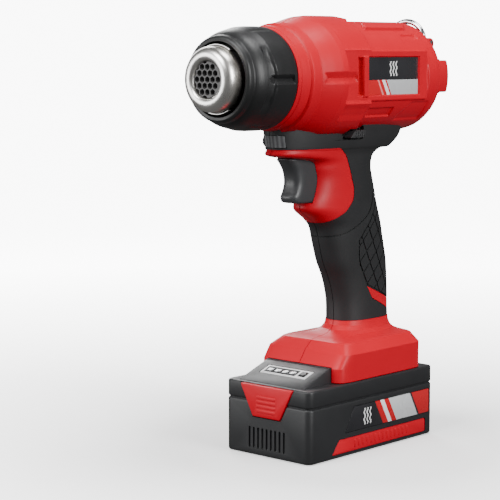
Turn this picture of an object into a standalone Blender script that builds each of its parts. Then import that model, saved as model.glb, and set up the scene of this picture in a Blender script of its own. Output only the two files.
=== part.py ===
"""Cordless heat gun with a pistol grip, standing on its slide-on battery pack.

The nozzle points towards -Y, the tool's left side faces +X and +Z is up. The origin is the middle
of the pack's flat underside. Sizes below are in millimetres; the helpers turn them into metres.
"""
import math

import bmesh
import bpy
from mathutils import Matrix, Vector

MM = 0.001
GAP = 0.3                      # clearance between pieces that touch

# Barrel: every turned piece shares this axis, parallel to Y
AXIS_Z = 262.9
COLLAR_FRONT_Y = -119.5
SHELL_FRONT_Y = -77.2
SHELL_REAR_Y = 80.0
SHELL_BORE_R = 34.0
TUBE_R = 22.0
TUBE_WALL = 1.0
TUBE_FRONT_Y = -131.1
TUBE_REAR_Y = -66.0
GRILLE_R = 26.0
FLAT_X = 36.4                  # flat panel on each side of the drum, which carries the label
LABEL_SIZE = (0.8, 55.0, 26.0)
LABEL_CENTRE_Y = 23.0
BUMPER_R = (29.0, 38.5)
BUMPER_Y = (66.0, 88.0)
BUMPER_HALF_Z = 13.0

# Handle and foot
GRIP_SKIN = 2.0                # thickness of the rubber grip
SHELL_WALL = 2.6
FOOT_Y = (-36.0, 59.5)
FOOT_HALF_X = 38.0
FOOT_BOTTOM_Z = 51.4
CHANNEL_HALF_X = 29.8          # the channel in the foot that takes the pack's tower
CHANNEL_TOP_Z = 62.4

# Moving pieces of the tool
TRIGGER_HALF_X = 8.3
TRIGGER_TRAVEL = 6.0
SELECTOR_Y = (-9.0, 8.0)
SELECTOR_Z = (220.6, 226.4)
SELECTOR_HALF_X = 24.0
LOOP_PIVOT_Y = 85.5
LOOP_PIVOT_Z = 287.0
LOOP_R = 16.0
WIRE_R = 2.0
FAN_R = 31.0
FAN_Y = (6.0, 20.0)
FAN_BLADES = 9
SHAFT_R = 1.5
MOTOR_R = 14.0
MOTOR_Y = (26.0, 56.0)

# Battery pack
PACK_HALF_X = 39.0
PACK_Y = (-70.0, 71.0)
PACK_SEAM_Z = 38.9
PACK_SHOULDER_Z = 51.1
PACK_WALL = 2.2
TOWER_HALF_X = 29.4
TOWER_Y = (-36.5, 56.0)
TOWER_TOP_Z = 62.0
CELL_R = 10.5
CELL_LENGTH = 70.0
CELL_PITCH = 22.4
CELL_REAR_Y = 57.5
CELL_LOW_Z = 13.3
LATCH_HALF_X = 20.7
LATCH_Z = (27.8, 49.6)

# Barrel outline: (radius, y), from the rear to the front
BARREL_OUTER = [(34.0, 80.0), (37.5, 77.0), (39.4, 71.5), (39.4, 13.3), (42.2, 1.3), (43.0, -6.6),
                (42.8, -33.6), (41.7, -41.1), (38.6, -52.3), (37.0, -55.5), (36.0, -66.7),
                (34.7, SHELL_FRONT_Y)]
BARREL_BORE = [(GRILLE_R + GAP, 90.0), (GRILLE_R + GAP, 77.0), (SHELL_BORE_R, 76.9), (SHELL_BORE_R, -16.0), (39.5, -16.1),
               (39.5, -38.0), (31.0, -52.0), (31.0, -90.0)]

# Handle outline: (z, front y, rear y, half width)
HANDLE = [(82.0, 2.0, 55.0, 16.6), (88.2, 2.4, 54.1, 16.3), (103.7, 1.4, 54.0, 16.0),
          (118.7, -3.3, 53.6, 16.0), (131.3, -9.9, 52.4, 16.3), (145.4, -14.5, 48.6, 16.8),
          (157.6, -18.2, 45.4, 17.2), (164.0, -26.0, 43.5, 17.3), (170.0, -35.2, 41.8, 17.4),
          (175.0, -35.6, 40.2, 17.4), (182.6, -32.0, 37.6, 17.6), (191.8, -29.5, 34.5, 17.8),
          (198.5, -31.0, 32.6, 18.0), (205.0, -36.0, 34.0, 18.0), (209.5, -64.9, 40.0, 18.2),
          (214.5, -64.9, 50.9, 19.0), (222.0, -64.5, 50.0, 18.6)]
# Neck that joins the handle to the barrel's underside, in the same form
NECK = [(212.0, -65.0, 54.0, 19.5), (219.0, -66.4, 66.6, 20.4), (230.7, -68.1, 71.5, 21.0),
        (244.0, -66.0, 70.0, 21.0)]
# Foot, in the same form, from its lower edge to the root of the handle
FOOT = [(FOOT_BOTTOM_Z, *FOOT_Y, FOOT_HALF_X), (70.9, *FOOT_Y, FOOT_HALF_X),
        (74.0, -31.0, 57.5, 34.5), (77.8, -20.0, 56.5, 28.0), (83.0, 1.0, 56.0, 17.5)]
# Side view (y, z) of what the rubber grips cover: all but the panel round the trigger
GRIP_REGION = [(-80.0, 214.2), (-13.6, 214.2), (-6.2, 208.8), (-2.5, 200.5), (3.5, 184.8),
               (3.3, 176.6), (-4.1, 168.8), (-20.6, 160.5), (-40.0, 152.0), (-40.0, 88.6),
               (70.0, 88.6), (90.0, 231.2), (6.0, 231.2), (-14.0, 224.3), (-40.0, 224.5),
               (-50.0, 228.5), (-80.0, 228.5)]
ACCENT_REGION = [(27.0, 103.5), (60.0, 88.9), (60.0, 96.0), (21.1, 112.6)]
# Screws that hold the two body shells together: (y, z, half length of their boss)
SCREWS = [(-52.0, 219.5, 16.4), (48.0, 221.7, 16.4), (22.3, 170.7, 12.9), (32.0, 106.2, 12.6)]
SCREW_HEAD = 4.0


def clear_scene():
    for old in list(bpy.data.objects):
        bpy.data.objects.remove(old, do_unlink=True)


def new_collection(name):
    collection = bpy.data.collections.new(name)
    bpy.context.scene.collection.children.link(collection)
    return collection


clear_scene()
PARTS = new_collection("heat_gun")
CUTTERS = new_collection("cutters")


def finish(name, color, roughness, metallic=0.0):
    material = bpy.data.materials.new(name)
    material.use_nodes = True
    shader = material.node_tree.nodes["Principled BSDF"]
    shader.inputs["Base Color"].default_value = (*color, 1.0)
    shader.inputs["Roughness"].default_value = roughness
    shader.inputs["Metallic"].default_value = metallic
    return material


RED = ((0.62, 0.02, 0.025), 0.42)
BLACK = ((0.025, 0.026, 0.028), 0.5)
RUBBER = ((0.035, 0.036, 0.038), 0.75)
STEEL = ((0.62, 0.61, 0.59), 0.3, 1.0)
CHROME = ((0.8, 0.8, 0.82), 0.12, 1.0)
CERAMIC = ((0.75, 0.7, 0.62), 0.7)
MICA = ((0.55, 0.42, 0.25), 0.5)
COPPER = ((0.75, 0.4, 0.2), 0.35, 1.0)
BOARD = ((0.03, 0.2, 0.09), 0.5)
CLEAR = ((0.85, 0.88, 0.9), 0.15)
CELL = ((0.1, 0.25, 0.4), 0.4)
PRINT = ((0.3, 0.3, 0.3), 0.35)


def add(name, mesh, look=None):
    """Link a mesh as a named piece with its own material, or as a cutter if it has no look."""
    obj = bpy.data.objects.new(name, mesh)
    if look is None:
        as_cutter(obj)
    else:
        PARTS.objects.link(obj)
        mesh.materials.append(finish(name, *look))
    return obj


def as_cutter(obj):
    CUTTERS.objects.link(obj)
    obj.hide_render = True
    obj.display_type = "WIRE"


def combine(obj, other, operation, solver="EXACT"):
    """Boolean union, difference or intersection with another object, which becomes a cutter."""
    modifier = obj.modifiers.new(operation.lower(), "BOOLEAN")
    modifier.operation = operation
    modifier.solver = solver
    modifier.object = other
    return obj


def cut(obj, *others, solver="EXACT"):
    for other in others:
        combine(obj, other, "DIFFERENCE", solver)
    return obj


def join(obj, *others, solver="EXACT"):
    for other in others:
        combine(obj, other, "UNION", solver)
    return obj


def keep(obj, other):
    return combine(obj, other, "INTERSECT")


def box(name, low, high, look=None, bevel=0.0):
    """A block between two corners, its own origin in its middle."""
    size = [(b - a) * MM for a, b in zip(low, high)]
    middle = [(a + b) * MM / 2 for a, b in zip(low, high)]
    work = bmesh.new()
    bmesh.ops.create_cube(work, size=1.0)
    bmesh.ops.scale(work, vec=size, verts=work.verts)
    mesh = bpy.data.meshes.new(name)
    work.to_mesh(mesh)
    work.free()
    obj = add(name, mesh, look)
    obj.location = middle
    if bevel:
        rounding = obj.modifiers.new("edges", "BEVEL")
        rounding.width = bevel * MM
        rounding.segments = 2
    return obj


def turned(name, profile, look=None, steps=32, closed=False, place=(0.0, 0.0, AXIS_Z)):
    """Turn (radius, y) points about an axis along Y. The outer side comes first, rear to front."""
    mesh = bpy.data.meshes.new(name)
    count = len(profile)
    edges = [(i, i + 1) for i in range(count - 1)]
    if closed:
        edges.append((count - 1, 0))
    mesh.from_pydata([(r * MM, 0.0, y * MM) for r, y in profile], edges, [])
    obj = add(name, mesh, look)
    obj.location = [value * MM for value in place]
    obj.rotation_euler = (-math.pi / 2, 0.0, 0.0)
    screw = obj.modifiers.new("turn", "SCREW")
    screw.steps = steps
    screw.render_steps = steps
    screw.use_merge_vertices = True
    screw.merge_threshold = 0.00001
    return obj


def disc(name, radius, y_range, look=None, steps=32, place=(0.0, 0.0, AXIS_Z)):
    low, high = y_range
    profile = [(0.0, high), (radius, high), (radius, low), (0.0, low)]
    return turned(name, profile, look, steps, place=place)


def ring(name, inner, outer, y_range, look=None, steps=32, place=(0.0, 0.0, AXIS_Z)):
    low, high = y_range
    profile = [(outer, high), (outer, low), (inner, low), (inner, high)]
    return turned(name, profile, look, steps, closed=True, place=place)


def crosswise(obj):
    """Turn a piece made along Y so that it lies along X."""
    obj.rotation_euler = (-math.pi / 2, 0.0, -math.pi / 2)
    return obj


def outline(name, points, half_width, look=None, shift_x=0.0):
    """A flat side-view outline (y, z), filled and extruded along X, as a mesh."""
    curve = bpy.data.curves.new(name, "CURVE")
    curve.dimensions = "2D"
    curve.fill_mode = "BOTH"
    curve.extrude = half_width * MM
    spline = curve.splines.new("POLY")
    spline.points.add(len(points) - 1)
    for point, (y, z) in zip(spline.points, points):
        point.co = (y * MM, z * MM, 0.0, 1.0)
    spline.use_cyclic_u = True
    turn = Matrix(((0, 0, 1, shift_x * MM), (1, 0, 0, 0), (0, 1, 0, 0), (0, 0, 0, 1)))
    return curve_to_piece(name, curve, turn, look)


def curve_to_piece(name, curve, matrix, look=None):
    """Turn a curve into a closed mesh object at the given place."""
    guide = bpy.data.objects.new(name + "_guide", curve)
    bpy.context.scene.collection.objects.link(guide)
    bpy.context.view_layer.update()
    evaluated = guide.evaluated_get(bpy.context.evaluated_depsgraph_get())
    mesh = bpy.data.meshes.new_from_object(evaluated)
    bpy.data.objects.remove(guide, do_unlink=True)
    work = bmesh.new()
    work.from_mesh(mesh)
    bmesh.ops.remove_doubles(work, verts=work.verts, dist=0.00001)
    bmesh.ops.recalc_face_normals(work, faces=work.faces)
    work.to_mesh(mesh)
    work.free()
    mesh.name = name
    obj = add(name, mesh, look)
    obj.matrix_world = matrix
    return obj


def wire(name, points, radius, look, resolution=2):
    """Round wire along the points, with flat ends."""
    curve = bpy.data.curves.new(name, "CURVE")
    curve.dimensions = "3D"
    curve.bevel_depth = radius * MM
    curve.bevel_resolution = resolution
    curve.use_fill_caps = True
    spline = curve.splines.new("POLY")
    spline.points.add(len(points) - 1)
    for point, place in zip(spline.points, points):
        point.co = (*[value * MM for value in place], 1.0)
    return curve_to_piece(name, curve, Matrix.Identity(4), look)


def loft(name, sections, grow=0.0, squareness=3.2, count=24, look=None):
    """Skin over level rounded-rectangle sections (z, front, rear, half width), grown sideways.

    The two ends move out by the growth too.
    """
    end_shift = {0: -grow, len(sections) - 1: grow}
    work = bmesh.new()
    rings = []
    for index, (z, front, rear, half_width) in enumerate(sections):
        z += end_shift.get(index, 0.0)
        middle = (front + rear) / 2
        half_depth = (rear - front) / 2 + grow
        loop = []
        for step in range(count):
            angle = math.tau * (step + 0.5) / count
            x = (half_width + grow) * rounded(math.cos(angle), squareness)
            y = middle + half_depth * rounded(math.sin(angle), squareness)
            loop.append(work.verts.new((x * MM, y * MM, z * MM)))
        rings.append(loop)
    for low, high in zip(rings, rings[1:]):
        for i in range(count):
            j = (i + 1) % count
            work.faces.new((low[i], low[j], high[j], high[i]))
    work.faces.new(list(reversed(rings[0])))
    work.faces.new(rings[-1])
    bmesh.ops.triangulate(work, faces=[face for face in work.faces if len(face.verts) == 4])
    mesh = bpy.data.meshes.new(name)
    work.to_mesh(mesh)
    work.free()
    return add(name, mesh, look)


def rounded(value, squareness):
    return math.copysign(abs(value) ** (2 / squareness), value)


def set_origin(obj, x, y, z):
    """Move a piece's origin, for instance to its joint's axis, leaving its shape where it is."""
    obj.data.transform(Matrix.Translation(obj.location - Vector((x, y, z)) * MM))
    obj.location = Vector((x, y, z)) * MM


def helix(centre_x, centre_z, y_range, radius, turns, steps):
    """Points of a coil whose axis runs along Y."""
    low, high = y_range
    points = []
    for i in range(turns * steps + 1):
        angle = math.tau * i / steps
        y = low + (high - low) * i / (turns * steps)
        points.append((centre_x + radius * math.cos(angle), y, centre_z + radius * math.sin(angle)))
    return points


# ---------------------------------------------------------------- body shells and grips

HALVES = {
    "left": box("half_left", (GAP / 2, -200, -10), (90, 200, 400)),
    "right": box("half_right", (-90, -200, -10), (-GAP / 2, 200, 400)),
}


def offset_region(points, amount):
    """Shift each corner of an anticlockwise outline outwards, along the mean of its edge normals."""
    moved = []
    for i, (y, z) in enumerate(points):
        normal = Vector((0.0, 0.0))
        for a, b in ((points[i - 1], points[i]), (points[i], points[(i + 1) % len(points)])):
            edge = Vector((b[0] - a[0], b[1] - a[1])).normalized()
            normal += Vector((edge.y, -edge.x))
        normal.normalize()
        moved.append((y + normal.x * amount, z + normal.y * amount))
    return moved


def make_barrel(name, grow=0.0):
    profile = [(r + grow, y) for r, y in BARREL_OUTER]
    return turned(name, [(0.0, SHELL_REAR_Y)] + profile + [(0.0, SHELL_FRONT_Y)])


def make_grip_volume(name, outer, inner, region_shift):
    """The skin between two offsets of the handle and neck, inside the grip region."""
    skin = join(loft(name, HANDLE, outer), loft(name + "_neck", NECK, outer, squareness=6))
    cut(skin, loft(name + "_core", HANDLE, inner))
    cut(skin, loft(name + "_neck_core", NECK, inner, squareness=6))
    region = outline(name + "_region", offset_region(GRIP_REGION, region_shift), 60)
    keep(skin, region)
    cut(skin, make_barrel(name + "_barrel", 0.0 if region_shift > 0 else GAP))
    return skin


def screw_cylinder(name, screw, radius, low, high):
    """A cylinder along X, on one screw's axis."""
    y, z = screw[:2]
    return crosswise(disc(f"{name}_{z:.0f}", radius, (low, high), steps=16, place=(0.0, y, z)))


def make_body_shell(side):
    shell = make_barrel(f"{side}_housing_barrel")
    shell.name = f"{side}_housing"
    CUTTERS.objects.unlink(shell)
    PARTS.objects.link(shell)
    shell.hide_render = False
    shell.display_type = "TEXTURED"
    shell.data.materials.append(finish(shell.name, *RED))
    join(shell, loft(f"{side}_neck", NECK, squareness=6), loft(f"{side}_handle", HANDLE))
    join(shell, loft(f"{side}_foot", FOOT, squareness=9))
    join(shell, keep(ring(f"{side}_bumper", *BUMPER_R, BUMPER_Y),
                     box(f"{side}_bumper_slab", (-60, 60, AXIS_Z - BUMPER_HALF_Z),
                         (60, 100, AXIS_Z + BUMPER_HALF_Z))))
    cut(shell, turned(f"{side}_bore", [(0.0, 90.0)] + BARREL_BORE + [(0.0, -90.0)]))
    cut(shell, loft(f"{side}_handle_bore", [s for s in HANDLE if s[0] > 83],
                    -GRIP_SKIN - GAP - SHELL_WALL))
    cut(shell, loft(f"{side}_neck_bore", NECK, -GRIP_SKIN - GAP - SHELL_WALL, squareness=6))
    cut(shell, make_grip_volume(f"{side}_grip_pocket", 1.5, -GRIP_SKIN - GAP, GAP))
    join(shell, *[screw_cylinder(f"{side}_boss", screw, 4.0, -screw[2], screw[2]) for screw in SCREWS])
    add_loop_ears(shell, side)
    cut_body_openings(shell, side)
    combine(shell, HALVES[side], "INTERSECT", "MANIFOLD")
    return shell


def add_loop_ears(shell, side):
    """Moulded ears behind the drum that hold the turned-out ends of the hanging loop."""
    for sign in (-1, 1):
        low, high = sorted_box(18.6 * sign, 23.6 * sign, SHELL_REAR_Y - 3.0, 89.5)
        join(shell, box(f"{side}_ear_{sign}", low + (282.4,), high + (291.2,), bevel=1.5))
    hole = disc(f"{side}_ear_hole", WIRE_R + 0.2, (-23.1, 23.1), steps=16,
                place=(0.0, LOOP_PIVOT_Y, LOOP_PIVOT_Z))
    cut(shell, crosswise(hole))


def cut_body_openings(shell, side):
    """Channel for the pack, terminal well, trigger slot, selector slot, lamp seat, flats, holes.

    The exact solver opens this shell's thin walls, so these cuts use the manifold one.
    """
    def carve(*others):
        cut(shell, *others, solver="MANIFOLD")

    carve(box(f"{side}_channel", (-CHANNEL_HALF_X, -60, 40),
                   (CHANNEL_HALF_X, 57.0, CHANNEL_TOP_Z)))
    for sign in (-1, 1):
        rail = box(f"{side}_rail_{sign}", sorted_box(26.7 * sign, 31.0 * sign, -19.0, 56.0)[0] + (52.3,),
                   sorted_box(26.7 * sign, 31.0 * sign, -19.0, 56.0)[1] + (55.1,))
        join(shell, rail, solver="MANIFOLD")
        carve(box(f"{side}_flat_{sign}", sorted_box(FLAT_X * sign, 60 * sign, -8, 60)[0] + (247.9,),
                       sorted_box(FLAT_X * sign, 60 * sign, -8, 60)[1] + (277.9,)))
    carve(box(f"{side}_well", (-15.8, 14.2, 50), (15.8, 49.8, 78.2)))
    carve(box(f"{side}_throat", (-9.5, 16.0, 70), (9.5, 40.0, 96.0)))
    slot_half = TRIGGER_HALF_X + 0.4
    carve(box(f"{side}_trigger_slot", (-slot_half, -70, 175.8), (slot_half, -15, 208.4)))
    carve(make_selector_slot(side))
    carve(box(f"{side}_lamp_seat", (-11.8, -80, 214.2), (11.8, -60.8, 225.4)))
    for y, z, reach in SCREWS:
        tip, seat = reach - 5.0, SCREW_HEAD + GAP - reach
        hole = turned(f"{side}_screw_hole_{z:.0f}", [(0.0, tip), (1.8, tip), (1.8, seat), (3.4, seat),
                      (3.4, -60.0), (0.0, -60.0)], steps=16, place=(0.0, y, z))
        carve(crosswise(hole))


def sorted_box(x_a, x_b, y_low, y_high):
    return (min(x_a, x_b), y_low), (max(x_a, x_b), y_high)


def make_selector_slot(name):
    return box(f"{name}_selector_slot", (-60, SELECTOR_Y[0] - 0.4, SELECTOR_Z[0] - 0.4),
               (60, SELECTOR_Y[1] + 0.4, SELECTOR_Z[1] + 0.4))


def make_grip(side):
    grip = make_grip_volume(f"{side}_grip_skin", 0.0, -GRIP_SKIN, 0.0)
    grip.name = f"{side}_grip"
    CUTTERS.objects.unlink(grip)
    PARTS.objects.link(grip)
    grip.hide_render = False
    grip.display_type = "TEXTURED"
    grip.data.materials.append(finish(grip.name, *RUBBER))
    cut(grip, make_selector_slot(grip.name))
    cut(grip, box(f"{side}_lamp_gap", (-12.1, -80, 213.9), (12.1, -60, 225.7)))
    cut(grip, outline(f"{side}_accent_gap", offset_region(ACCENT_REGION, GAP), 60))
    if side == "right":
        cut(grip, *[screw_cylinder("grip_hole", screw, 3.7, -60.0, -8.0) for screw in SCREWS])
    keep(grip, HALVES[side])
    return grip


def make_accent(side):
    """Red insert across the rear of the grip, near its lower end."""
    accent = loft(f"{side}_grip_accent", HANDLE, 0.2, look=RED)
    cut(accent, loft(f"{side}_accent_core", HANDLE, -GRIP_SKIN))
    keep(accent, outline(f"{side}_accent_region", ACCENT_REGION, 60))
    keep(accent, HALVES[side])
    return accent


for side_name in ("left", "right"):
    make_body_shell(side_name)
    make_grip(side_name)
    make_accent(side_name)


# ---------------------------------------------------------------- hot end

def make_nose_collar():
    profile = [(34.9, -77.7), (35.2, -80.0), (34.8, -96.0), (33.9, -104.3), (31.0, -109.0),
               (29.2, -117.5), (27.0, COLLAR_FRONT_Y), (25.2, COLLAR_FRONT_Y), (25.0, -117.0),
               (28.4, -106.0), (31.2, -100.0), (31.2, -77.7)]
    return turned("nose_collar", profile, BLACK, steps=36, closed=True)


def make_outlet_tube():
    """Steel tube with a rolled front lip, which attachments slip over."""
    profile = [(TUBE_R, TUBE_REAR_Y), (TUBE_R, -124.0), (21.2, -127.8), (19.4, -130.2),
               (17.2, TUBE_FRONT_Y), (12.2, TUBE_FRONT_Y), (11.3, -130.5), (12.0, -130.0),
               (16.8, -130.0), (18.6, -129.3), (20.2, -127.2), (TUBE_R - TUBE_WALL, -124.0),
               (TUBE_R - TUBE_WALL, TUBE_REAR_Y)]
    return turned("outlet_tube", profile, STEEL, steps=36, closed=True)


def make_honeycomb():
    """Ceramic disc behind the lip, pierced by hexagonal holes."""
    honeycomb = disc("honeycomb", 17.4, (-129.6, -126.6), CERAMIC)
    pitch = 4.7
    holes = []
    for row in range(-2, 3):
        for column in range(5 - abs(row)):
            x = (column - (4 - abs(row)) / 2) * pitch
            z = AXIS_Z + row * pitch * math.sqrt(3) / 2
            holes.append(disc(f"hex_{row}_{column}", 2.3, (-135, -120), steps=6, place=(x, 0, z)))
    return cut(honeycomb, *holes)


def make_heater():
    ring("mica_sleeve", 20.0, 20.7, (-122.0, -66.3), MICA)
    blade = [(-120.0, -19.6), (-117.0, -19.6), (-117.0, -15.0), (-75.0, -15.0), (-75.0, -19.6),
             (-72.0, -19.6), (-72.0, 19.6), (-75.0, 19.6), (-75.0, 15.0), (-117.0, 15.0),
             (-117.0, 19.6), (-120.0, 19.6)]
    upright = [(y, AXIS_Z + z) for y, z in blade]
    former = outline("heater_former", upright, 0.8, CERAMIC)
    level = outline("former_level_blade", upright, 0.8)
    lift = Matrix.Translation((0.0, 0.0, AXIS_Z * MM))
    level.matrix_world = lift @ Matrix.Rotation(math.pi / 2, 4, "Y") @ lift.inverted() @ level.matrix_world
    join(former, level)
    wire("heating_coil", helix(0.0, AXIS_Z, (-114.5, -77.5), 17.0, 8, 12), 0.9, STEEL, resolution=0)
    base = [(30.7, -60.0), (30.7, -74.0), (22.3, -74.0), (22.3, -65.8), (27.5, -60.0)]
    turned("heater_base", base, CERAMIC, closed=True)
    disc("thermal_cutoff", 3.0, (-50.0, -34.3), STEEL, steps=16, place=(0.0, 0.0, AXIS_Z - 8.0))


make_nose_collar()
make_outlet_tube()
make_honeycomb()
make_heater()


# ---------------------------------------------------------------- air path and motor

def spokes(name, count, radii, thickness, y_range, lean=0.0):
    """Flat blades standing round the barrel's axis, as one cutter mesh to be joined to a hub."""
    work = bmesh.new()
    inner, outer = radii
    low, high = y_range
    for i in range(count):
        blade = bmesh.ops.create_cube(work, size=1.0)["verts"]
        size = ((outer - inner) * MM, thickness * MM, (high - low) * MM)
        bmesh.ops.scale(work, vec=size, verts=blade)
        bmesh.ops.rotate(work, cent=(0, 0, 0), matrix=Matrix.Rotation(lean, 3, "X"), verts=blade)
        bmesh.ops.translate(work, vec=((inner + outer) / 2 * MM, 0.0, 0.0), verts=blade)
        turn = Matrix.Rotation(math.tau * i / count, 3, "Z")
        bmesh.ops.rotate(work, cent=(0, 0, 0), matrix=turn, verts=blade)
    mesh = bpy.data.meshes.new(name)
    work.to_mesh(mesh)
    work.free()
    obj = add(name, mesh)
    obj.location = (0.0, (low + high) / 2 * MM, AXIS_Z * MM)
    obj.rotation_euler = (-math.pi / 2, 0.0, 0.0)
    return obj


def make_air_guide():
    """Ring with a hub and fixed vanes that straighten the air from the fan."""
    guide = ring("air_guide", 37.0, 39.2, (-34.0, -22.0), BLACK)
    join(guide, spokes("guide_vanes", 6, (12.0, 38.0), 1.6, (-33.0, -23.0)))
    join(guide, disc("guide_hub", 14.0, (-34.0, -22.0)))
    return guide


def make_fan_wheel():
    low, high = FAN_Y
    fan = disc("fan_wheel", 9.0, FAN_Y, BLACK)
    join(fan, spokes("fan_blades", FAN_BLADES, (7.0, FAN_R), 1.4, (low + 1.5, high - 1.5), 0.7))
    cut(fan, disc("fan_bore", SHAFT_R + GAP, (low - 5, high + 5), steps=16))
    return fan


def make_motor():
    low, high = MOTOR_Y
    rotor = [(0.0, 64.0), (SHAFT_R, 64.0), (SHAFT_R, 52.0), (11.0, 51.9), (11.0, 31.0),
             (SHAFT_R, 30.9), (SHAFT_R, 4.0), (0.0, 4.0)]
    turned("motor_rotor", rotor, COPPER, steps=24)
    can = [(MOTOR_R, high), (MOTOR_R, low), (2.6, low), (2.6, low + 2.0), (12.6, low + 2.0), (12.6, high)]
    turned("motor_can", can, STEEL, steps=24, closed=True)
    cap = [(MOTOR_R, high + 4.0), (MOTOR_R, high + GAP), (2.6, high + GAP), (2.6, high + 4.0)]
    turned("motor_end_cap", cap, BLACK, steps=24, closed=True)
    mount = ring("motor_mount", 31.2, SHELL_BORE_R - GAP, (36.0, 44.0), BLACK)
    join(mount, spokes("mount_arms", 4, (15.5, 32.5), 3.0, (37.0, 43.0)))
    join(mount, ring("mount_sleeve", MOTOR_R + GAP, 16.8, (36.0, 44.0)))


def make_rear_grille():
    """Slotted intake cover, held in the two shells by its flange."""
    profile = [(0.0, 79.8), (GRILLE_R, 79.8), (GRILLE_R, 76.6), (29.5, 76.5), (29.5, 74.4), (0.0, 74.4)]
    grille = turned("rear_grille", profile, BLACK)
    for row in range(-3, 4):
        height = row * 6.6
        half = math.sqrt((GRILLE_R - 4.0) ** 2 - height ** 2)
        cut(grille, box(f"slot_{row}", (-half, 60, AXIS_Z + height - 1.6), (half, 90, AXIS_Z + height + 1.6)))
    return grille


make_air_guide()
make_fan_wheel()
make_motor()
make_rear_grille()


# ---------------------------------------------------------------- hanging loop

def make_hanging_loop():
    """Wire loop that stands up behind the drum, with its two ends turned out into the ears."""
    points = [(-22.8, LOOP_PIVOT_Y, LOOP_PIVOT_Z), (-17.2, LOOP_PIVOT_Y, LOOP_PIVOT_Z)]
    arc_steps = 16
    for i in range(arc_steps + 1):
        angle = math.pi * (1 - (i + 0.6) / (arc_steps + 1.2))
        points.append((LOOP_R * math.cos(angle), LOOP_PIVOT_Y, LOOP_PIVOT_Z + LOOP_R * math.sin(angle)))
    points += [(17.2, LOOP_PIVOT_Y, LOOP_PIVOT_Z), (22.8, LOOP_PIVOT_Y, LOOP_PIVOT_Z)]
    loop = wire("hanging_loop", points, WIRE_R, CHROME)
    set_origin(loop, 0.0, LOOP_PIVOT_Y, LOOP_PIVOT_Z)


make_hanging_loop()


# ---------------------------------------------------------------- controls

def make_trigger():
    """Finger trigger with a hollowed front and a flange that stays behind the slot."""
    front = [(-55.9, 207.6), (-52.5, 204.0), (-49.0, 199.6), (-47.2, 194.5), (-46.9, 189.5),
             (-48.4, 184.5), (-50.7, 180.6), (-50.0, 177.2), (-46.0, 176.2)]
    trigger = outline("trigger", front + [(-18.5, 176.2), (-18.5, 207.9), (-54.0, 208.0)],
                      TRIGGER_HALF_X, BLACK)
    rounding = trigger.modifiers.new("edges", "BEVEL")
    rounding.width = 2.0 * MM
    rounding.segments = 2
    rounding.limit_method = "ANGLE"
    rounding.angle_limit = math.radians(60)
    join(trigger, box("trigger_flange", (-9.5, -19.6, 177.2), (9.5, -17.0, 205.4)))
    return trigger


def make_spring(name, x, z, y_range, radius, turns, thickness=0.45):
    wire(name, helix(x, z, y_range, radius, turns, 8), thickness, STEEL, resolution=0)


def make_selector():
    """Slide bar through the neck, pushed from side to side to choose the heat."""
    bar = box("heat_selector", (-SELECTOR_HALF_X, SELECTOR_Y[0], SELECTOR_Z[0]),
              (SELECTOR_HALF_X, SELECTOR_Y[1], SELECTOR_Z[1]), BLACK, bevel=0.8)
    return bar


def make_lamp():
    box("led_lens", (-11.4, -68.2, 214.6), (11.4, -63.4, 225.0), CLEAR, bevel=1.0)
    box("led_board", (-9.5, -62.9, 215.2), (9.5, -61.2, 224.4), BOARD)


make_trigger()
make_spring("trigger_spring", 0.0, 191.0, (-16.1, -6.7), 4.0, 5)
box("switch_module", (-9.5, -5.8, 178.5), (9.5, 17.0, 204.0), BLACK, bevel=0.6)
make_selector()
make_lamp()
box("control_board", (-6.0, 12.0, 120.0), (-4.4, 38.0, 160.0), BOARD)


def make_labels():
    thickness, length, height = LABEL_SIZE
    for side, sign in (("left", 1), ("right", -1)):
        low, high = sorted_box((FLAT_X + GAP) * sign, (FLAT_X + GAP + thickness) * sign,
                               LABEL_CENTRE_Y - length / 2, LABEL_CENTRE_Y + length / 2)
        box(f"{side}_label", low + (AXIS_Z - height / 2,), high + (AXIS_Z + height / 2,), PRINT)


def make_screws():
    for i, (y, z, reach) in enumerate(SCREWS):
        tip, seat = reach - 6.0, SCREW_HEAD - reach
        profile = [(0.0, tip), (1.4, tip), (1.4, seat), (3.0, seat), (3.0, -reach), (0.0, -reach)]
        crosswise(turned(f"housing_screw_{i + 1}", profile, STEEL, steps=12, place=(0.0, y, z)))


make_labels()
make_screws()


# ---------------------------------------------------------------- terminals in the foot

BLADES_X = (-8.0, 8.0)


def make_terminals():
    block = box("terminal_block", (-15.4, 14.6, 62.7), (15.4, 49.4, 76.0), BLACK)
    for i, x in enumerate(BLADES_X):
        cut(block, box(f"blade_socket_{i}", (x - 0.9, 29.7, 60.0), (x + 0.9, 44.3, 70.3)))
        box(f"contact_blade_{i + 1}", (x - 0.6, 30.0, 56.0), (x + 0.6, 44.0, 70.0), COPPER)


make_terminals()


# ---------------------------------------------------------------- battery pack

def make_pack_lower():
    front, rear = PACK_Y
    shell = box("battery_lower_shell", (-PACK_HALF_X, front, 0.0),
                (PACK_HALF_X, rear, PACK_SEAM_Z - GAP), BLACK)
    soften = shell.modifiers.new("corners", "BEVEL")
    soften.width = 5.0 * MM
    soften.segments = 3
    soften.limit_method = "WEIGHT"
    mark_upright_edges(shell)
    cut(shell, box("lower_hollow", (-PACK_HALF_X + PACK_WALL, front + PACK_WALL, PACK_WALL),
                   (PACK_HALF_X - PACK_WALL, rear - PACK_WALL, 60.0)))
    cut(shell, make_latch_opening("lower"))
    for sign in (-1, 1):
        cut(shell, make_strip_block(f"strip_pocket_{sign}", sign, GAP, 1.5))
    return shell


def mark_upright_edges(obj):
    """Give the four upright edges of a block a bevel weight of one."""
    weights = obj.data.attributes.new("bevel_weight_edge", "FLOAT", "EDGE")
    for edge in obj.data.edges:
        a, b = (obj.data.vertices[i].co for i in edge.vertices)
        weights.data[edge.index].value = 1.0 if abs(a.z - b.z) > 0.0001 else 0.0


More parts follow.
